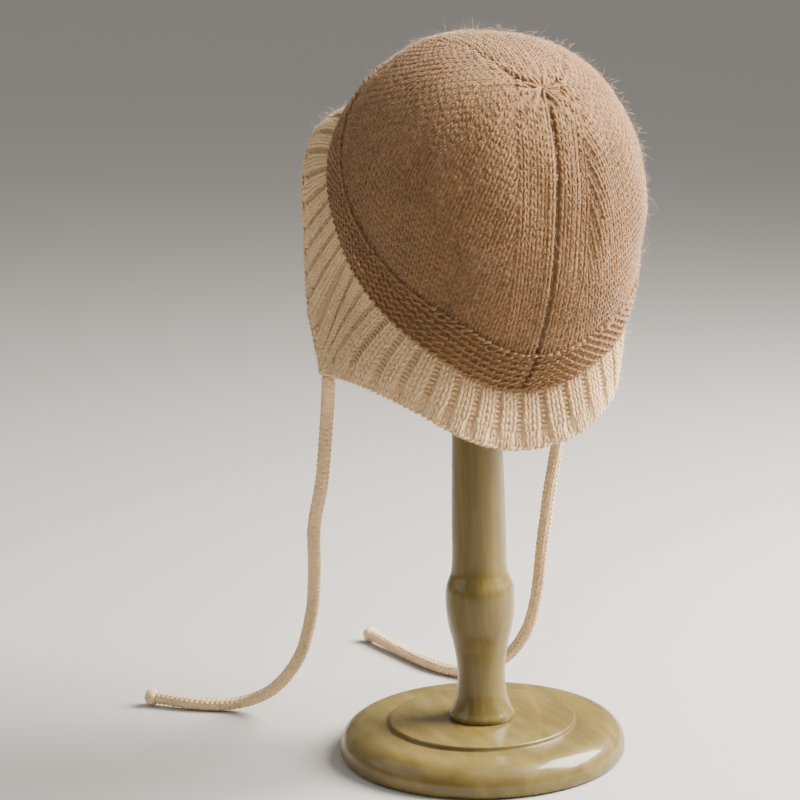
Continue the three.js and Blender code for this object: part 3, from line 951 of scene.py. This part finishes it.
def seam_bareness(across, row):
    """1 along the crown's seams, where no fibres stand and painted shade darkens the fabric, and 0 away
    from them.
    """
    places = zip(row.seams, (0, BACK_GROOVE, 0), (1.3, 1.8, 1.3))
    bare = [bell(seam_distance(across, seam, row) - beside, wide) for seam, beside, wide in places]
    return np.max(bare, axis=0)


def crown_stations():
    """Angles around the crown, closer together at the seams."""
    angles = np.linspace(-180, 180, 160, endpoint=False)
    extra = np.linspace(-4, 4, 17)
    for seam in (-FRONT_SEAM, 0, FRONT_SEAM):
        angles = angles[np.abs(angles - seam) > 4.1]
        angles = np.concatenate([angles, seam + extra])
    return np.sort(angles)


def crown_shell(name):
    angles = crown_stations()
    rings, nap = [], []
    for share in (np.arange(1, CROWN_ROWS + 1) / CROWN_ROWS) ** 1.15:
        row = crown_row(share)
        at = swung(angles, share)
        across = np.interp(at, row.angles, row.lengths)
        # Fewer fibres along the seams; the same value darkens them with painted shade
        nap.append(1 - SEAM_BARE_AND_SHADE * seam_bareness(across, row))
        rings.append(lifted(crown_face, at, share, crown_relief(across, share, row) - FABRIC_SINK))
    for share in np.arange(LINING_ROWS, 0, -1) / LINING_ROWS:
        rings.append(lifted(crown_face, swung(angles, share), share, -KNIT_WALL - drawn_in(share)))
    pole = crown_surface(0, 0)
    outer_pole, inner_pole = (
        placed(pole - unit(pole) * depth) for depth in (GATHER_DIMPLE + FABRIC_SINK, KNIT_WALL)
    )
    shell = mesh_object(name, *capped(rings, outer_pole, inner_pole))
    return set_nap(shell, np.concatenate(nap), LINING_NAP)


def panels_of(row, width):
    """The three panels between the seams. Each has its start and end along the row, the width
    of the strip beside the back seam at either end, and the place of its straight column."""
    bounds = np.append(row.seams, row.seams[0] + row.total)
    start, end = bounds[:-1], bounds[1:]
    strip = np.minimum(STRIP_WALES * width, 0.75 * (end - start))
    first, last = strip * (0, 1, 0), strip * (1, 0, 0)
    straight = start + first + (end - last - start - first) * (1 - WALE_LEAN, WALE_LEAN, 0.5)
    return start, end, first, last, straight


def wales_of(row, width):
    """Where the columns of stitches cross one row: place along it, width and lift of each.
    Beside the back seam they follow it. The rest of a panel is filled from its straight column."""
    found = []
    for start, end, first, last, straight in zip(*panels_of(row, width)):
        for seam, side, strip in ((start, 1, first), (end, -1, last)):
            for k in range(STRIP_WALES if strip else 0):
                pitch = strip / STRIP_WALES
                found.append((seam + side * (k + 0.5) * pitch, pitch, 0.25 if k == STRIP_WALES - 1 else 0))
        for side, room in ((-1, straight - start - first), (1, end - last - straight)):
            count = int(room / width)
            found += [(straight + side * (j + 0.5) * width, width, 0) for j in range(count)]
            left = room - count * width
            if left > 0.4 * width:
                found.append((straight + side * (count * width + left / 2), left, 0.1))
    return np.array(found)


def wale_direction(row, above, across, at, width):
    """Upward direction of the columns, from their places in this row to those in the row above."""
    start, end, first, last, straight = panels_of(row, width)
    start_above, end_above, _, _, straight_above = panels_of(above, width)
    place = wrapped(across, row.seams[0], row.total)
    panel = np.clip(np.searchsorted(start, place, side="right") - 1, 0, 2)
    shift = (straight_above - straight)[panel]
    shift = np.where(place < (start + first)[panel], (start_above - start)[panel], shift)
    shift = np.where(place > (end - last)[panel], (end_above - end)[panel], shift)
    goal = np.clip(place + shift, start_above[panel], end_above[panel])
    goal = wrapped(goal, above.lengths[0], above.total)
    target = crown_face(np.interp(goal, above.lengths, above.angles), above.share)
    return unit(target - crown_face(at, row.share))


def crown_stitches(name):
    knit = bpy.context.scene.knit_sizes
    rows = []
    half = 0.5 / knit.stitch_rows
    for share in (np.arange(1, knit.stitch_rows) + 0.5) / knit.stitch_rows:
        row = crown_row(share)
        above = crown_row(max(share - half, 0.01))
        across, pitch, lift = wales_of(row, knit.stitch_width).T
        across = wrapped(across, row.lengths[0], row.total)
        # The columns by the back seam stand back from its groove
        back = seam_distance(across, row.seams[1], row)
        across = across - SEAM_ROOM * smoothstep(-back, 0, 0.5) * (1 - smoothstep(-back, 6, 20))
        at = np.interp(across, row.lengths, row.angles)
        sink = STITCH_SINK + GATHER_SINK * (1 - smoothstep(share, 0.15, 0.55))
        height = crown_relief(across, share, row) + lift + sink
        point, outward, _, _ = surface_frames(crown_face, at, share)
        upward = wale_direction(row, above, across, at, knit.stitch_width)
        high = np.linalg.norm(crown_face(at, share + half) - crown_face(at, share - half), axis=-1)
        size = np.stack([pitch, high, np.minimum(pitch, knit.stitch_width)], -1)
        rows.append((point + outward * height[:, None], outward, upward, size))
    return stitches(name, knit_stitch, rows, "brown_wool", seed=11, unevenness=0.1)


def gather_pleats(name):
    """The pleats of the drawn-up top, which run out from its middle."""
    order = np.arange(PLEATS)
    at = order * 360 / PLEATS + 7 * np.sin(order * 2.3)
    point, outward, across, _ = surface_frames(crown_face, at, 0.04 + 0.008 * np.cos(order * 1.7))
    rows = [(point - outward * PLEAT_SINK, outward, across, PLEAT_SIZE)]
    return stitches(name, purl_stitch, rows, "brown_wool", seed=13, unevenness=0.12)


# Garter band


def seam_angle(around, share):
    """Degrees from the band's seam, which slants a little."""
    return from_back(np.asarray(around, float) - BAND_SEAM - BAND_SEAM_SLANT * share)


def band_height(around, share):
    """Height of the band's fabric over the crown's plain shape, with its seam at the back."""
    groove = BAND_GROOVE * bell(seam_angle(around, share), BAND_GROOVE_WIDTH)
    return BAND_PROUD - CROWN_DRAW_IN * (1 - BAND_LET_OUT * share) - groove


def band_wear(around):
    """How much of the band's relief is left: all of it at the back, less at the sides."""
    return 1 - 0.6 * smoothstep(np.abs(from_back(around)), 50, 95)


def band_shell(name):
    angles = np.concatenate([np.linspace(-6, 6, 49), np.linspace(8, 352, 173)])
    rings, nap = [], []
    for share in np.linspace(0, 1, BAND_RIDGES * 6 + 1):
        ridge = -BAND_RIDGE * band_wear(angles) * math.cos(2 * math.pi * BAND_RIDGES * share)
        height = np.maximum(band_height(angles, share) + ridge - BAND_FABRIC_SINK, BAND_FLOOR)
        # Fewer fibres along the seam; the same value darkens it with painted shade
        nap.append(1 - bell(seam_angle(angles, share), BAND_SEAM_BARE_AND_SHADE))
        rings.append(lifted(band_face, angles, share, height))
    rings += [lifted(band_face, angles, share, depth) for share, depth in BAND_LINING]
    return set_nap(tube_body(name, rings), np.concatenate(nap), LINING_NAP)


def band_stitches(name):
    knit = bpy.context.scene.knit_sizes
    rows = []
    count = 0
    for ridge in range(BAND_RIDGES):
        share = (ridge + 0.5) / BAND_RIDGES
        # Every row has the same stitches, and starts and ends at the seam
        fine = np.linspace(0, 360, 721) + BAND_SEAM + BAND_SEAM_SLANT * share
        lengths = arc_lengths(band_face(fine, share))
        count = count or round(lengths[-1] / (knit.stitch_width * 1.25))
        room = lengths[-1] - 2 * BAND_SEAM_ROOM
        at = np.interp(BAND_SEAM_ROOM + (np.arange(count) + 0.5) / count * room, lengths, fine)
        wobble = 0.008 * np.sin(np.radians(at * 7 + 60 * ridge))
        height = band_height(at, share) + 0.9 * band_wear(at) - 0.7
        point, outward, _, down = surface_frames(band_face, at, share + wobble)
        size = (room / count, BAND_STITCH_HIGH, knit.yarn * 2.6)
        rows.append((point + outward * height[:, None], outward, -down, size))
    return stitches(name, garter_stitch, rows, "brown_wool", seed=23)


def spaced_round(surface, share, pitch, samples):
    """Angles at even distances round a surface."""
    fine = np.linspace(0, 360, samples)
    lengths = arc_lengths(surface(fine, share))
    count = round(lengths[-1] / pitch)
    return np.interp(np.arange(count) / count * lengths[-1], lengths, fine)


def band_welt(name):
    """The raised row of slanting stitches where the crown was picked up along the band."""
    width = bpy.context.scene.knit_sizes.stitch_width
    at = spaced_round(band_face, 0, width, 721)
    height = band_height(at, 0) + 0.6 + 0.2 * np.sin(at * 1.7)
    point, outward, across, down = surface_frames(band_face, at, -0.02)
    upward = unit(-down + 0.15 * across)
    rows = [(point + outward * height[:, None], outward, upward, (width * 1.25, 4, 5))]
    return stitches(name, purl_stitch, rows, "brown_wool", seed=29, unevenness=0.24)


# Ribbed border


def beside_groove(around):
    """Distance from the nearest groove, in ribs: 0.5 on the crest."""
    phase = (np.asarray(around, float) * RIB_COUNT / 360) % 1
    return np.minimum(phase, 1 - phase)


def rib_groove(around):
    """1 in the middle of a groove and 0 on the ribs."""
    return np.exp(-((beside_groove(around) / 0.19) ** 5))


def flap_share(around):
    """0 at the back of the border and 1 on the flaps and the front."""
    return smoothstep(np.abs(from_back(around)), BACK_END, FLAP_START)


def border_inset(share):
    """How far the border's top lies in, under the band."""
    return BORDER_INSET * (1 - smoothstep(share, 0, BORDER_INSET_REACH))


def rib_height(around, share):
    """Height of the ribs over the border's plain shape: two columns of stitches beside a sunk
    groove. At the back the groove is shallower and its floor rises a little in the middle."""
    beside = beside_groove(around)
    flap = flap_share(around)
    depth = bpy.context.scene.knit_sizes.rib_depth * (0.5 + 0.5 * flap)
    floor = RIB_FLOOR * (1 - flap) * bell(beside, 0.1)
    between = RIB_BETWEEN * bell(beside - 0.5, 0.07)
    left = (1 - 0.55 * smoothstep(share, 0.82, 0.92)) * (0.4 + 0.6 * smoothstep(share, 0, 0.12))
    height = RIB_CREST - (depth + RIB_CREST) * rib_groove(around) + floor - between
    return height * left - border_inset(share)


def border_shell(name):
    angles = np.arange(RIB_COUNT * BORDER_POINTS) * 360 / (RIB_COUNT * BORDER_POINTS)
    rings = []
    for share in np.linspace(BORDER_TOP, BORDER_END, BORDER_ROWS):
        rings.append(lifted(rib_surface, angles, share, rib_height(angles, share) - BORDER_FABRIC_SINK))
    for share in (BORDER_END, 0.75, 0.5, 0.25, BORDER_TOP):
        rings.append(lifted(rib_surface, angles, share, -RIB_WALL - border_inset(share)))
    # A hidden lip under the band closes the gap between them
    rings += [lifted(rib_surface, angles, -0.05, -depth) for depth in (3.6, 2.4)]
    # Fewer fibres in the grooves between ribs, more so on the flaps; the same value darkens them with
    # painted shade
    nap = 1 - (0.2 + 0.55 * flap_share(angles)) * rib_groove(angles)
    return set_nap(tube_body(name, rings), np.tile(nap, BORDER_ROWS), BORDER_LINING_NAP)


def rib_places(offset, row_height, start, end):
    """Places along every rib: angle, share down, a rib's pitch and the height of a row. Start
    and end are the lengths in millimetres that stay free at the band and at the rim."""
    fine = np.linspace(0, 1, 61)
    half = 180 / RIB_COUNT
    found = []
    for rib in range(RIB_COUNT):
        around = (rib + offset) * 360 / RIB_COUNT
        lengths = arc_lengths(rib_surface(around, fine))
        first = start if start >= 0 else lengths[-1] + start
        room = lengths[-1] - end - first
        count = max(2, round(room / row_height))
        shares = np.interp(first + (np.arange(count) + 0.5) / count * room, lengths, fine)
        beside = rib_surface(around + half, shares) - rib_surface(around - half, shares)
        along = unit(rib_surface(around, shares + 0.01) - rib_surface(around, shares - 0.01))
        pitch = np.linalg.norm(beside - along * (beside * along).sum(-1, keepdims=True), axis=-1)
        found += [(around, share, wide, room / count) for share, wide in zip(shares, pitch)]
    return np.array(found).T


def rib_columns(
    name, build, columns, width, seed, row=1.0, start=0, end=RIM_EDGE,
    rise=STITCH_SINK, high=1.0, deep=(2.6, 4.4), unevenness=0.1,
):
    """Stitches in columns along the ribs. Columns holds each one's place across a rib, and width,
    row and high are shares of a rib's pitch, of the knitting's row and of the room in it."""
    row_height = bpy.context.scene.knit_sizes.rib_row * row
    places = [rib_places(column, row_height, start, end) for column in columns]
    around, share, pitch, room = np.concatenate(places, axis=1)
    share = np.clip(share, BORDER_TOP, RIM_CHAIN)
    height = rib_height(around, share) + rise
    point, outward, _, down = surface_frames(rib_surface, around, share)
    size = np.stack([pitch * width, room * high, np.clip(pitch * width, *deep)], -1)
    rows = [(point + outward * height[:, None], outward, -down, size)]
    return stitches(name, build, rows, "cream_wool", seed, unevenness)


def rim_stitches(name):
    """The bound-off edge: a chain of slanting stitches round the rim."""
    at = spaced_round(rib_surface, RIM_CHAIN, CHAIN_PITCH, 2881)
    point, outward, across, down = surface_frames(rib_surface, at, RIM_CHAIN)
    rows = []
    for height, lean in ((-0.7, 0.5), (-RIB_WALL - 0.5, -0.5)):
        upward = unit(np.cross(outward, unit(across + lean * down)))
        rows.append((point + outward * height, outward, upward, CHAIN_SIZE))
    return stitches(name, purl_stitch, rows, "cream_wool", seed=41, unevenness=0.16)


# Ties


def tie_line(name):
    """The middle of a tie, as points a millimetre or so apart, and its length."""
    around, route = TIES[name]
    point, outward, _, _ = surface_frames(rib_surface, around, 0.996)
    start = placed(point - outward * TIE_INSET) - (0, 0, TIE_SEAT)
    fine = spline([start, start - (0, 0, TIE_LEAD), *route])(np.linspace(0, 1, 1200))
    lengths = arc_lengths(fine)
    spots = np.linspace(0, lengths[-1], round(lengths[-1] / 1.2))
    return along_line(spots, lengths, fine), lengths[-1]


def carried_frames(line, twist=0.0):
    """Two directions square to a line, carried along it without turning, plus a twist for
    each millimetre."""
    along = unit(np.gradient(line, axis=0))
    side = unit(np.cross(along[0], (0.3, 1.0, 0.2)))
    sides = []
    for direction in along:
        side = unit(side - direction * np.dot(side, direction))
        sides.append(side)
    sides = np.array(sides)
    turn = arc_lengths(line)[:, None] * twist
    first = sides * np.cos(turn) + np.cross(along, sides) * np.sin(turn)
    return along, first, np.cross(along, first)


def tie_body(name, line, radius):
    _, first, second = carried_frames(line)
    angles = round_angles(TIE_SIDES)
    rings = [line[k] + radius * ring(first[k], second[k], angles) for k in range(len(line))]
    return mesh_object(name, *capped(rings, line[0], line[-1]))


def tie_stitches(name, line):
    """Columns of small knit stitches round the cord."""
    along, first, second = carried_frames(line, TIE_TWIST)
    lengths = arc_lengths(line)
    count = int(lengths[-1] / TIE_ROW)
    spots = (np.arange(count) + 0.5) * lengths[-1] / count
    middle = along_line(spots, lengths, line)
    upward = unit(along_line(spots, lengths, along))
    rows = []
    for turn in round_angles(TIE_COLUMNS):
        spoke = first * math.cos(turn) + second * math.sin(turn)
        outward = unit(along_line(spots, lengths, spoke))
        places = middle + outward * (TIE_RADIUS - TIE_STITCH_SINK)
        rows.append((places, outward, upward, TIE_STITCH_SIZE))
    return stitches(name, knit_stitch, rows, "cream_wool", seed=43, unevenness=0.06, on_hat=False)


def knob_body(name, line):
    """The small knob at a tie's end, with a notch across its face."""
    forward = unit(line[-1] - line[-3])
    _, first, second = carried_frames(line[-6:])
    start = line[-1] + forward * SEAT_GAP
    angles = round_angles(KNOB_SIDES)
    circle = ring(first[-1], second[-1], angles)
    rings = []
    for distance, radius in spline([(0, 2.0), *KNOB_ROWS, (KNOB_LENGTH, 0.4)])(np.linspace(0, 1, 18)):
        lobes = radius * (0.97 + 0.04 * np.cos(5 * angles + 0.3 * distance))
        notch = KNOB_NOTCH * bell(radius * np.sin(angles), 0.9) * smoothstep(distance, 4, 8)
        rings.append(start + forward * (distance - notch)[:, None] + circle * lobes[:, None])
    return mesh_object(name, *capped(rings, start, start + forward * (KNOB_LENGTH - KNOB_NOTCH)))


# Stand


def arc_points(radius, height, size, start, end, steps):
    angles = np.radians(np.linspace(start, end, steps + 1))
    return [(radius + size * math.cos(a), height + size * math.sin(a)) for a in angles]


def base_profile():
    top = BASE_HEIGHT + BASE_STEP_RISE
    foot, upper, step = BASE_FOOT_ROUND, BASE_TOP_ROUND, BASE_STEP_ROUND
    return [
        (0, 0),
        (BASE_RADIUS - foot - 20, 0),
        *arc_points(BASE_RADIUS - foot, foot, foot, -90, 0, 8),
        *arc_points(BASE_RADIUS - upper, BASE_HEIGHT - upper, upper, 0, 90, 20),
        # A fine groove where the step starts
        (BASE_STEP_RADIUS + 1.4, BASE_HEIGHT),
        (BASE_STEP_RADIUS + 0.5, BASE_HEIGHT - 0.35),
        (BASE_STEP_RADIUS, BASE_HEIGHT),
        *arc_points(BASE_STEP_RADIUS - step, top - step, step, 0, 90, 6),
        (30, top),
        (0, top),
    ]


def post_profile(top):
    curve = spline([(radius, height) for height, radius in POST_ROWS])(np.linspace(0, 1, 90))
    centre = top - POST_TOP_RADIUS
    return [
        (0, POST_ROWS[0][0]),
        *curve,
        (POST_TOP_RADIUS, centre - 60),
        *arc_points(0, centre, POST_TOP_RADIUS, 0, 84, 14),
        (0, top),
    ]


# Operators


def dress(piece, slot, *nodes):
    """Attaches a finished piece to the root body and hides the solids it stands for. The slot, its finish,
    is not used.
    """
    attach(piece, "root")
    if nodes:
        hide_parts(*nodes)


def with_material(piece, material):
    piece.data.materials.clear()
    piece.data.materials.append(material)
    return piece


class HAT_OT_camera(bpy.types.Operator):
    """Place the camera at the photograph's viewing angle"""

    bl_idname = "hat.camera"
    bl_label = "Camera"

    def execute(self, context):
        camera = linked_object("camera", bpy.data.cameras.new("camera"))
        camera.data.lens = CAMERA_LENS
        camera.data.sensor_width = 36
        beside, behind = math.sin(CAMERA_AROUND), math.cos(CAMERA_AROUND)
        spot = (CAMERA_DISTANCE * beside, CAMERA_DISTANCE * behind, CAMERA_HEIGHT)
        camera.matrix_world = (
            Matrix.Translation(spot)
            @ Matrix.Rotation(math.pi - CAMERA_AROUND + CAMERA_YAW, 4, "Z")
            @ Matrix.Rotation(math.pi / 2 - CAMERA_PITCH, 4, "X")
            @ Matrix.Rotation(-CAMERA_ROLL, 4, "Z")
        )
        context.scene.camera = camera
        return {"FINISHED"}


class HAT_OT_ties(bpy.types.Operator):
    """Make the two knitted ties and the knobs at their ends"""

    bl_idname = "hat.ties"
    bl_label = "Ties"

    def execute(self, context):
        for name in TIES:
            line, length = tie_line(name)
            body = with_material(tie_body(name + "_core", line, TIE_RADIUS - 0.5), wool("cream_wool"))
            knit = tie_stitches(name + "_stitches", line)
            knob = with_material(knob_body(name + "_end", line), wool("cream_wool"))
            tie = joined(name + "_cord", [body, knit])
            dress(tie, "cream_knit", name)
            dress(knob, "cream_knit", name + "_knob")
        return {"FINISHED"}


class HAT_OT_crown(bpy.types.Operator):
    """Make the knitted crown with its seams and its gathered top"""

    bl_idname = "hat.crown"
    bl_label = "Crown"

    def execute(self, context):
        dress(with_material(crown_shell("crown_fabric"), wool("brown_wool")), "brown_knit", "crown")
        dress(crown_stitches("crown_stitches"), "brown_knit")
        dress(gather_pleats("gather_pleats"), "brown_knit")
        return {"FINISHED"}


class HAT_OT_garter_band(bpy.types.Operator):
    """Make the garter band round the crown's lower edge"""

    bl_idname = "hat.garter_band"
    bl_label = "Garter band"

    def execute(self, context):
        dress(with_material(band_shell("band_fabric"), wool("brown_wool")), "brown_knit", "garter_band")
        dress(band_stitches("band_stitches"), "brown_knit")
        dress(band_welt("band_welt"), "brown_knit")
        return {"FINISHED"}


class HAT_OT_rib_border(bpy.types.Operator):
    """Make the ribbed border with its ear flaps"""

    bl_idname = "hat.rib_border"
    bl_label = "Ribbed border"

    def execute(self, context):
        dress(with_material(border_shell("border_fabric"), wool("cream_wool")), "cream_knit", "rib_border")
        edge = {"start": -RIM_EDGE, "end": 0.8}
        bumps = {"row": 0.7, "rise": -0.1, "high": 1.1, "deep": (2.8, 2.8), "unevenness": 0.07}
        for piece in (
            rib_columns("rib_stitches", knit_stitch, (0.33, 0.67), 0.34, seed=31),
            rib_columns("edge_stitches", knit_stitch, (0.12, 0.38, 0.62, 0.88), 0.26, seed=33, **edge),
            rib_columns("groove_stitches", purl_stitch, (0,), 0.3, seed=37, **bumps),
            rim_stitches("rim_stitches"),
        ):
            dress(piece, "cream_knit")
        return {"FINISHED"}


class HAT_OT_fuzz(bpy.types.Operator):
    """Raise the loose fibres of the brushed wool"""

    bl_idname = "hat.fuzz"
    bl_label = "Wool fuzz"

    def execute(self, context):
        knit = context.scene.knit_sizes
        nap = (once(bpy.data.objects, nap_fibre), knit.fuzz_length, 0.32)
        hair = (once(bpy.data.objects, loose_hair), knit.hair_length, 0.6)
        rows = (
            ("crown_fabric", "crown_fuzz", "brown", nap, 1.1),
            ("crown_fabric", "crown_hairs", "brown", hair, 0.07),
            ("band_fabric", "band_fuzz", "brown", nap, 0.35),
            ("border_fabric", "border_fuzz", "cream", nap, 0.7),
            ("border_fabric", "border_hairs", "cream", hair, 0.07),
        )
        for seed, (source, name, colour, (shape, length, tilt), share) in enumerate(rows):
            values = {
                "Fibre": shape,
                "Density": knit.fuzz_count * share * 1e4,
                "Length": length * METRES,
                "Tilt": tilt,
                "Seed": seed,
                "Material": wool(colour + "_nap"),
            }
            dress(grown_from(name, bpy.data.objects[source], raise_fuzz, values), colour + "_knit")
        return {"FINISHED"}


class HAT_OT_stand(bpy.types.Operator):
    """Make the turned stand"""

    bl_idname = "hat.stand"
    bl_label = "Turned stand"

    def execute(self, context):
        post_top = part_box("stand_post")[1][2] / METRES
        base = lathe_body("base_turning", base_profile(), BASE_SIDES)
        post = lathe_body("post_turning", post_profile(post_top), POST_SIDES)
        with_material(base, varnished_wood("base_varnish", (30, 5, 30), 0.45))
        with_material(post, varnished_wood("post_varnish", (40, 40, 4), 0.3))
        dress(base, "varnished_wood", "stand_base")
        dress(post, "varnished_wood", "stand_post")
        return {"FINISHED"}


class HAT_OT_stage(bpy.types.Operator):
    """Make the plain floor and the soft studio light"""

    bl_idname = "hat.stage"
    bl_label = "Stage"

    def execute(self, context):
        corners = [(FLOOR_REACH * x, FLOOR_REACH * y, 0) for x, y in ((-1, -1), (1, -1), (1, 1), (-1, 1))]
        floor = mesh_object("floor", corners, [[0, 1, 2, 3]], smooth=False)
        material, _, shader = new_material("pale_floor")
        shader.inputs["Base Color"].default_value = (*context.scene.hat_colours.floor, 1)
        shader.inputs["Roughness"].default_value = 0.9
        with_material(floor, material)
        world = bpy.data.worlds.new("soft_room")
        world.use_nodes = True
        background = world.node_tree.nodes["Background"]
        background.inputs["Color"].default_value = LIGHT_TINT
        background.inputs["Strength"].default_value = ROOM_LIGHT
        context.scene.world = world
        for name, (kind, power, settings, beside, above, distance) in LIGHTS.items():
            light = linked_object(name, bpy.data.lights.new(name, kind))
            light.data.energy = power
            for setting, value in settings.items():
                setattr(light.data, setting, value)
            turn = CAMERA_AROUND - math.radians(beside)
            flat = math.cos(math.radians(above)) * distance
            lift = math.sin(math.radians(above)) * distance
            spot = LIT_PLACE + Vector((flat * math.sin(turn), flat * math.cos(turn), lift))
            aim = (spot - LIT_PLACE).to_track_quat("Z", "Y").to_matrix().to_4x4()
            light.matrix_world = Matrix.Translation(spot) @ aim
        return {"FINISHED"}


STEPS = (
    HAT_OT_camera,
    HAT_OT_ties,
    HAT_OT_crown,
    HAT_OT_garter_band,
    HAT_OT_rib_border,
    HAT_OT_fuzz,
    HAT_OT_stand,
    HAT_OT_stage,
)


class HAT_PT_panel(bpy.types.Panel):
    """Lists the steps and the sizes and colours they use"""

    bl_idname = "HAT_PT_panel"
    bl_label = "Knit Earflap Hat"
    bl_space_type = "VIEW_3D"
    bl_region_type = "UI"
    bl_category = "Hat"

    def draw(self, context):
        for step in STEPS:
            self.layout.operator(step.bl_idname)
        for group in (context.scene.knit_sizes, context.scene.hat_colours):
            for name in group.bl_rna.properties.keys():
                if name not in ("rna_type", "name"):
                    self.layout.prop(group, name)


CLASSES = (KnitSizes, HatColours, *STEPS, HAT_PT_panel)


def register():
    for cls in CLASSES:
        bpy.utils.register_class(cls)
    bpy.types.Scene.knit_sizes = bpy.props.PointerProperty(type=KnitSizes)
    bpy.types.Scene.hat_colours = bpy.props.PointerProperty(type=HatColours)


def unregister():
    del bpy.types.Scene.hat_colours
    del bpy.types.Scene.knit_sizes
    for cls in reversed(CLASSES):
        bpy.utils.unregister_class(cls)


def main():
    register()
    for step in STEPS:
        group, name = step.bl_idname.split(".")
        getattr(getattr(bpy.ops, group), name)()
    for name in ("knit_stitch", "purl_stitch", "garter_stitch", "nap_fibre", "loose_hair"):
        bpy.data.objects.remove(bpy.data.objects[name])


if __name__ == "__main__":
    main()
